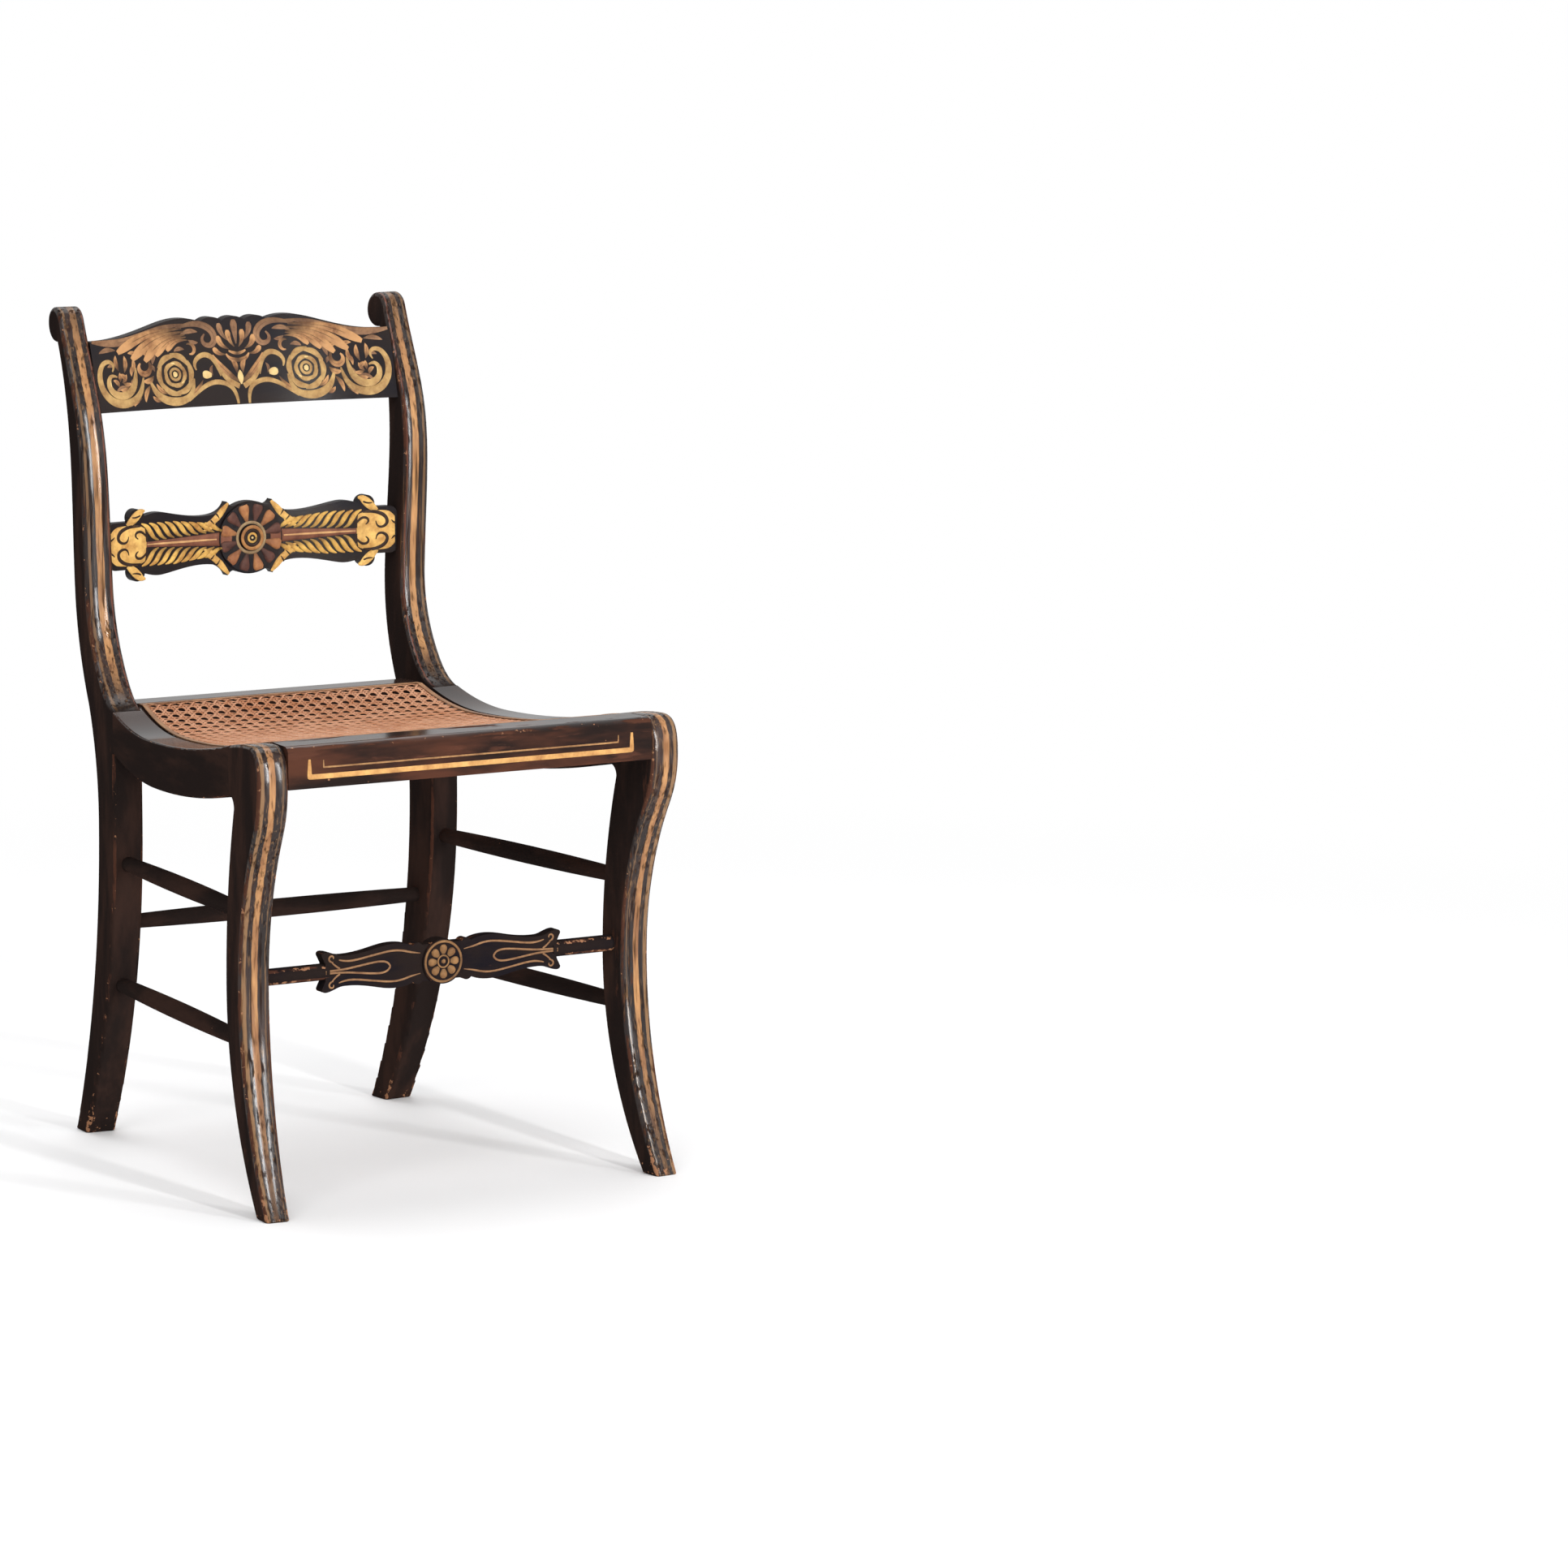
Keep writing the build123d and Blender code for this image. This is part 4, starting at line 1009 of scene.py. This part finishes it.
def carve(name, crown, strokes, finish, over=(), rings=()):
    # strokes on the splat, or over what is already laid there
    height = splat["height"]
    laid = [raised(points, height) for points in strokes]
    turned = [raised(points, height) for points in rings]
    return layStrokes(name, crown, laid, [nodes["mid_splat"], *over], finish, rings=turned)


def carveSplat():
    petals = petalRing(splat["petals"], splat["petalReach"], splat["petalWidth"], "wedge", 0.5)
    rib = [(u, 0, ribHalf(u)) for u in (22, 34, 50, 70, 92, 112, 119)]
    line = [(38, 0, 0.7), (60, 0, 1.3), (110, 0, 1.1), (118, 0, 0.5)]
    halves = ((119, 17.5), (125, 22.4), (134, 23.2), (148, 23.2), (156.5, 21.5), (160.5, 15.5))
    field = [(u, 0, half) for u, half in halves]
    carve("splatDarkPetals", 0.22, petals[0::2], "petalDark")
    carve("splatPetals", 0.30, petals[1::2], "petalBrown")
    ribs = carve("splatRib", 0.06, bothSides(rib), "ribBrown")
    carve("splatRibLine", 0.5, bothSides(line), "ribLight", [ribs])
    fields = carve("splatCapField", 0.03, bothSides(field), "capGold")
    carve("splatLeaflets", 0.34, repeated(splatLeaflets(), fourWays), "leafletGold")
    caps = carve("splatCaps", 0.26, repeated(splatTips, fourWays), "capGold")
    carve("splatCapLines", 0.12, repeated(splatCuts, fourWays), "darkLine", [caps, fields])


def turnRosette():
    # rings and a bead turned on the boss
    for name, (radius, width, finish) in splat["rings"].items():
        carve(name, 0.4, [], finish, rings=[ring(radius, width)])
    carve("rosetteBead", 0.5, [leaf((-1.2, 0), (1.2, 0), 2.6, 0, "petal")], "creamDot")


carveSplat()
turnRosette()
print("carved the splat")


# front stretcher: rosette and looped lines

stretcher = {
    "height": 224.0, "line": 2.1, "loopCurl": 2.0,
    "petals": 8, "petalReach": (7.5, 16.6), "petalWidth": 8.6, "rings": ((19.4, 2.6), (5.8, 1.8)),
}
goldStroke("rosetteGold", (0.29, 0.155, 0.062), (0.11, 0.05, 0.024), "black", 0.5, 0.3, 0.5)
goldStroke("stretcherLine", (0.33, 0.18, 0.085), (0.13, 0.06, 0.03), "black", 0.35, 0.1, 0.5)


def gildStretcher():
    height, half = stretcher["height"], stretcher["line"] / 2
    loop = even(((128, 1), (110, 1.2), (94, 3.0), (78, 5.2), (66, 6.0), (58.5, 3.6), (57, 0)), half)
    border = even(((34, 11.5), (44, 14.5), (56, 15.4), (76, 12.5), (96, 9.2), (107, 9.4)), half)
    border = [(24, 10, 0.4), *border, (113, 11.2, 0.6)]
    fork = [(112, 2.5, half), (118, 6, half), (122.5, 11.5, 0.4)]
    lobe = curl((120.5, 13.2), (4.0, 1.6), (250, 560), stretcher["loopCurl"], 0.5)
    lines = [raised(points, height) for points in repeated((loop, border, fork, lobe), fourWays)]
    petals = petalRing(stretcher["petals"], stretcher["petalReach"], stretcher["petalWidth"], "petal")
    button = leaf((-2.2, 0), (2.2, 0), 4.8, 0, "petal")
    rosette = [raised(points, height) for points in [*petals, button]]
    rings = [raised(ring(*each), height) for each in stretcher["rings"]]
    board, slot = [nodes["front_stretcher"]], "gilded_stretcher"
    layStrokes("stretcherLines", 0.25, lines, board, "stretcherLine")
    layStrokes("stretcherRosette", 0.35, rosette, board, "rosetteGold", rings=rings)


gildStretcher()
print("gilded the front stretcher")


# front rail: panel of painted lines

railLines = {
    "halfLength": 176.0, "bandWidth": 5.6, "bandHeight": 11.0, "corner": 0.6, "taperFrom": 9.0, "top": 17.0,
    # the fine line lies inside the band, farther in and higher
    "inward": 15.0, "upward": 8.5, "fineHalf": 0.9, "fineTip": 0.5, "fineCorner": 0.5, "upright": 7.0,
}
goldStroke("bandGold", (0.62, 0.35, 0.12), (0.30, 0.13, 0.045), "underRed", 0.12, 0.0, 0.6)
goldStroke("oldGoldLine", (0.40, 0.22, 0.09), (0.17, 0.08, 0.035), "black", 0.35, 0.1, 0.5)


def panelLine(end, reach, height, half, steps):
    # an upright end, a level run and the same end turned round
    run = [(-reach + 2 * reach * step / steps, height, half) for step in range(1, steps)]
    return end + run + [(-u, v, width) for u, v, width in reversed(end)]


def linePanel():
    board, slot = [nodes["front_rail"]], "painted_frame"
    reach, half, corner = railLines["halfLength"], railLines["bandWidth"] / 2, railLines["corner"]
    low = chair["frontRailTop"] - chair["frontRailHeight"] + railLines["bandHeight"]
    end = [(-reach, low + railLines["top"], half * 0.5), (-reach, low + railLines["taperFrom"], half * 0.8)]
    end += [(-reach, low + corner, half), (-reach + corner, low, half)]
    band = panelLine(end, reach, low, half, 12)
    reach, low, corner = reach - railLines["inward"], low + railLines["upward"], railLines["fineCorner"]
    half = railLines["fineHalf"]
    end = [(-reach, low + railLines["upright"], railLines["fineTip"]), (-reach, low + corner, half)]
    fine = panelLine(end + [(-reach + corner, low, half)], reach, low, half, 10)
    layStrokes("railBand", 0.04, [band], board, "bandGold")
    layStrokes("railFineLine", 0.08, [fine], board, "oldGoldLine")


linePanel()
print("lined the front rail")


# floor, light and camera

studio = {
    "floorSize": 160.0, "floorColour": (0.93, 0.93, 0.935), "floorFades": (0.9, 2.4), "worldStrength": 0.5,
    "lookedAt": (0, 0, 0.45),
    # place, size and power of each lamp
    "lamps": {
        "key": ((-2.6, -2.4, 3.4), (2.2, 2.2), 48.0),
        "fill": ((3.4, -3.0, 2.0), (3.0, 3.0), 18.0),
        "top": ((0.2, 1.2, 3.6), (3.2, 3.2), 70.0),
        "leftStrip": ((0.23, -3.4, 1.3), (0.12, 2.2), 60.0),
        "rightStrip": ((1.45, -3.4, 1.3), (0.12, 2.2), 50.0),
    },
    "camera": (-3.1838, -6.1129, 1.4189), "forward": (0.5044, 0.8503, -0.1498),
    "lens": 160.92, "sensor": 36.0, "shift": (0.0351, -0.0027), "farthest": 400.0,
}


def makeFloor():
    deselectAll()
    bpy.ops.mesh.primitive_plane_add(size=studio["floorSize"], location=(0, 0, 0))
    floor = bpy.context.object
    floor.name = "floor"
    material = bpy.data.materials.new("paleFloor")
    material.use_nodes = True
    tree = material.node_tree
    shader = tree.nodes["Principled BSDF"]
    shader.inputs["Roughness"].default_value = 0.9
    shader.inputs["Specular IOR Level"].default_value = 0.0
    shader.inputs["Base Color"].default_value = (*studio["floorColour"], 1)
    # far from the chair the camera sees the floor plain white
    away = tree.nodes.new("ShaderNodeVectorMath")
    away.operation = "LENGTH"
    feed(tree, away.inputs[0], tree.nodes.new("ShaderNodeTexCoord").outputs["Object"])
    seen = tree.nodes.new("ShaderNodeLightPath").outputs["Is Camera Ray"]
    mix = tree.nodes.new("ShaderNodeMixShader")
    feed(tree, mix.inputs[0], times(tree, ramp(tree, away.outputs["Value"], *studio["floorFades"]), seen))
    feed(tree, mix.inputs[1], shader.outputs[0])
    feed(tree, mix.inputs[2], tree.nodes.new("ShaderNodeEmission").outputs[0])
    feed(tree, tree.nodes["Material Output"].inputs["Surface"], mix.outputs[0])
    floor.data.materials.append(material)


def makeWorld():
    world = bpy.data.worlds.new("studio")
    bpy.context.scene.world = world
    world.use_nodes = True
    tree = world.node_tree
    plain = tree.nodes["Background"]
    bright = tree.nodes.new("ShaderNodeBackground")
    for background in (plain, bright):
        background.inputs["Color"].default_value = (1, 1, 1, 1)
    plain.inputs["Strength"].default_value = studio["worldStrength"]
    paths = tree.nodes.new("ShaderNodeLightPath").outputs
    mix = tree.nodes.new("ShaderNodeMixShader")
    feed(tree, mix.inputs[0], calc(tree, "MAXIMUM", paths["Is Camera Ray"], paths["Is Glossy Ray"]))
    feed(tree, mix.inputs[1], plain.outputs[0])
    feed(tree, mix.inputs[2], bright.outputs[0])
    feed(tree, tree.nodes["World Output"].inputs["Surface"], mix.outputs[0])


def addLamp(name, place, size, power):
    light = bpy.data.lights.new(name, "AREA")
    light.shape = "RECTANGLE"
    light.size, light.size_y = size
    light.energy = power
    lamp = bpy.data.objects.new(name, light)
    bpy.context.collection.objects.link(lamp)
    lamp.location = place
    lamp.rotation_euler = (Vector(studio["lookedAt"]) - Vector(place)).to_track_quat("-Z", "Y").to_euler()


def addCamera():
    lens = bpy.data.cameras.new("camera")
    lens.lens = studio["lens"]
    lens.sensor_width = studio["sensor"]
    lens.shift_x, lens.shift_y = studio["shift"]
    lens.clip_end = studio["farthest"]
    camera = bpy.data.objects.new("camera", lens)
    bpy.context.collection.objects.link(camera)
    camera.location = studio["camera"]
    camera.rotation_euler = Vector(studio["forward"]).to_track_quat("-Z", "Y").to_euler()
    bpy.context.scene.camera = camera


makeFloor()
makeWorld()
for name, lamp in studio["lamps"].items():
    addLamp(name, *lamp)
addCamera()
bpy.context.scene.view_settings.view_transform = "Standard"
print("set the studio")
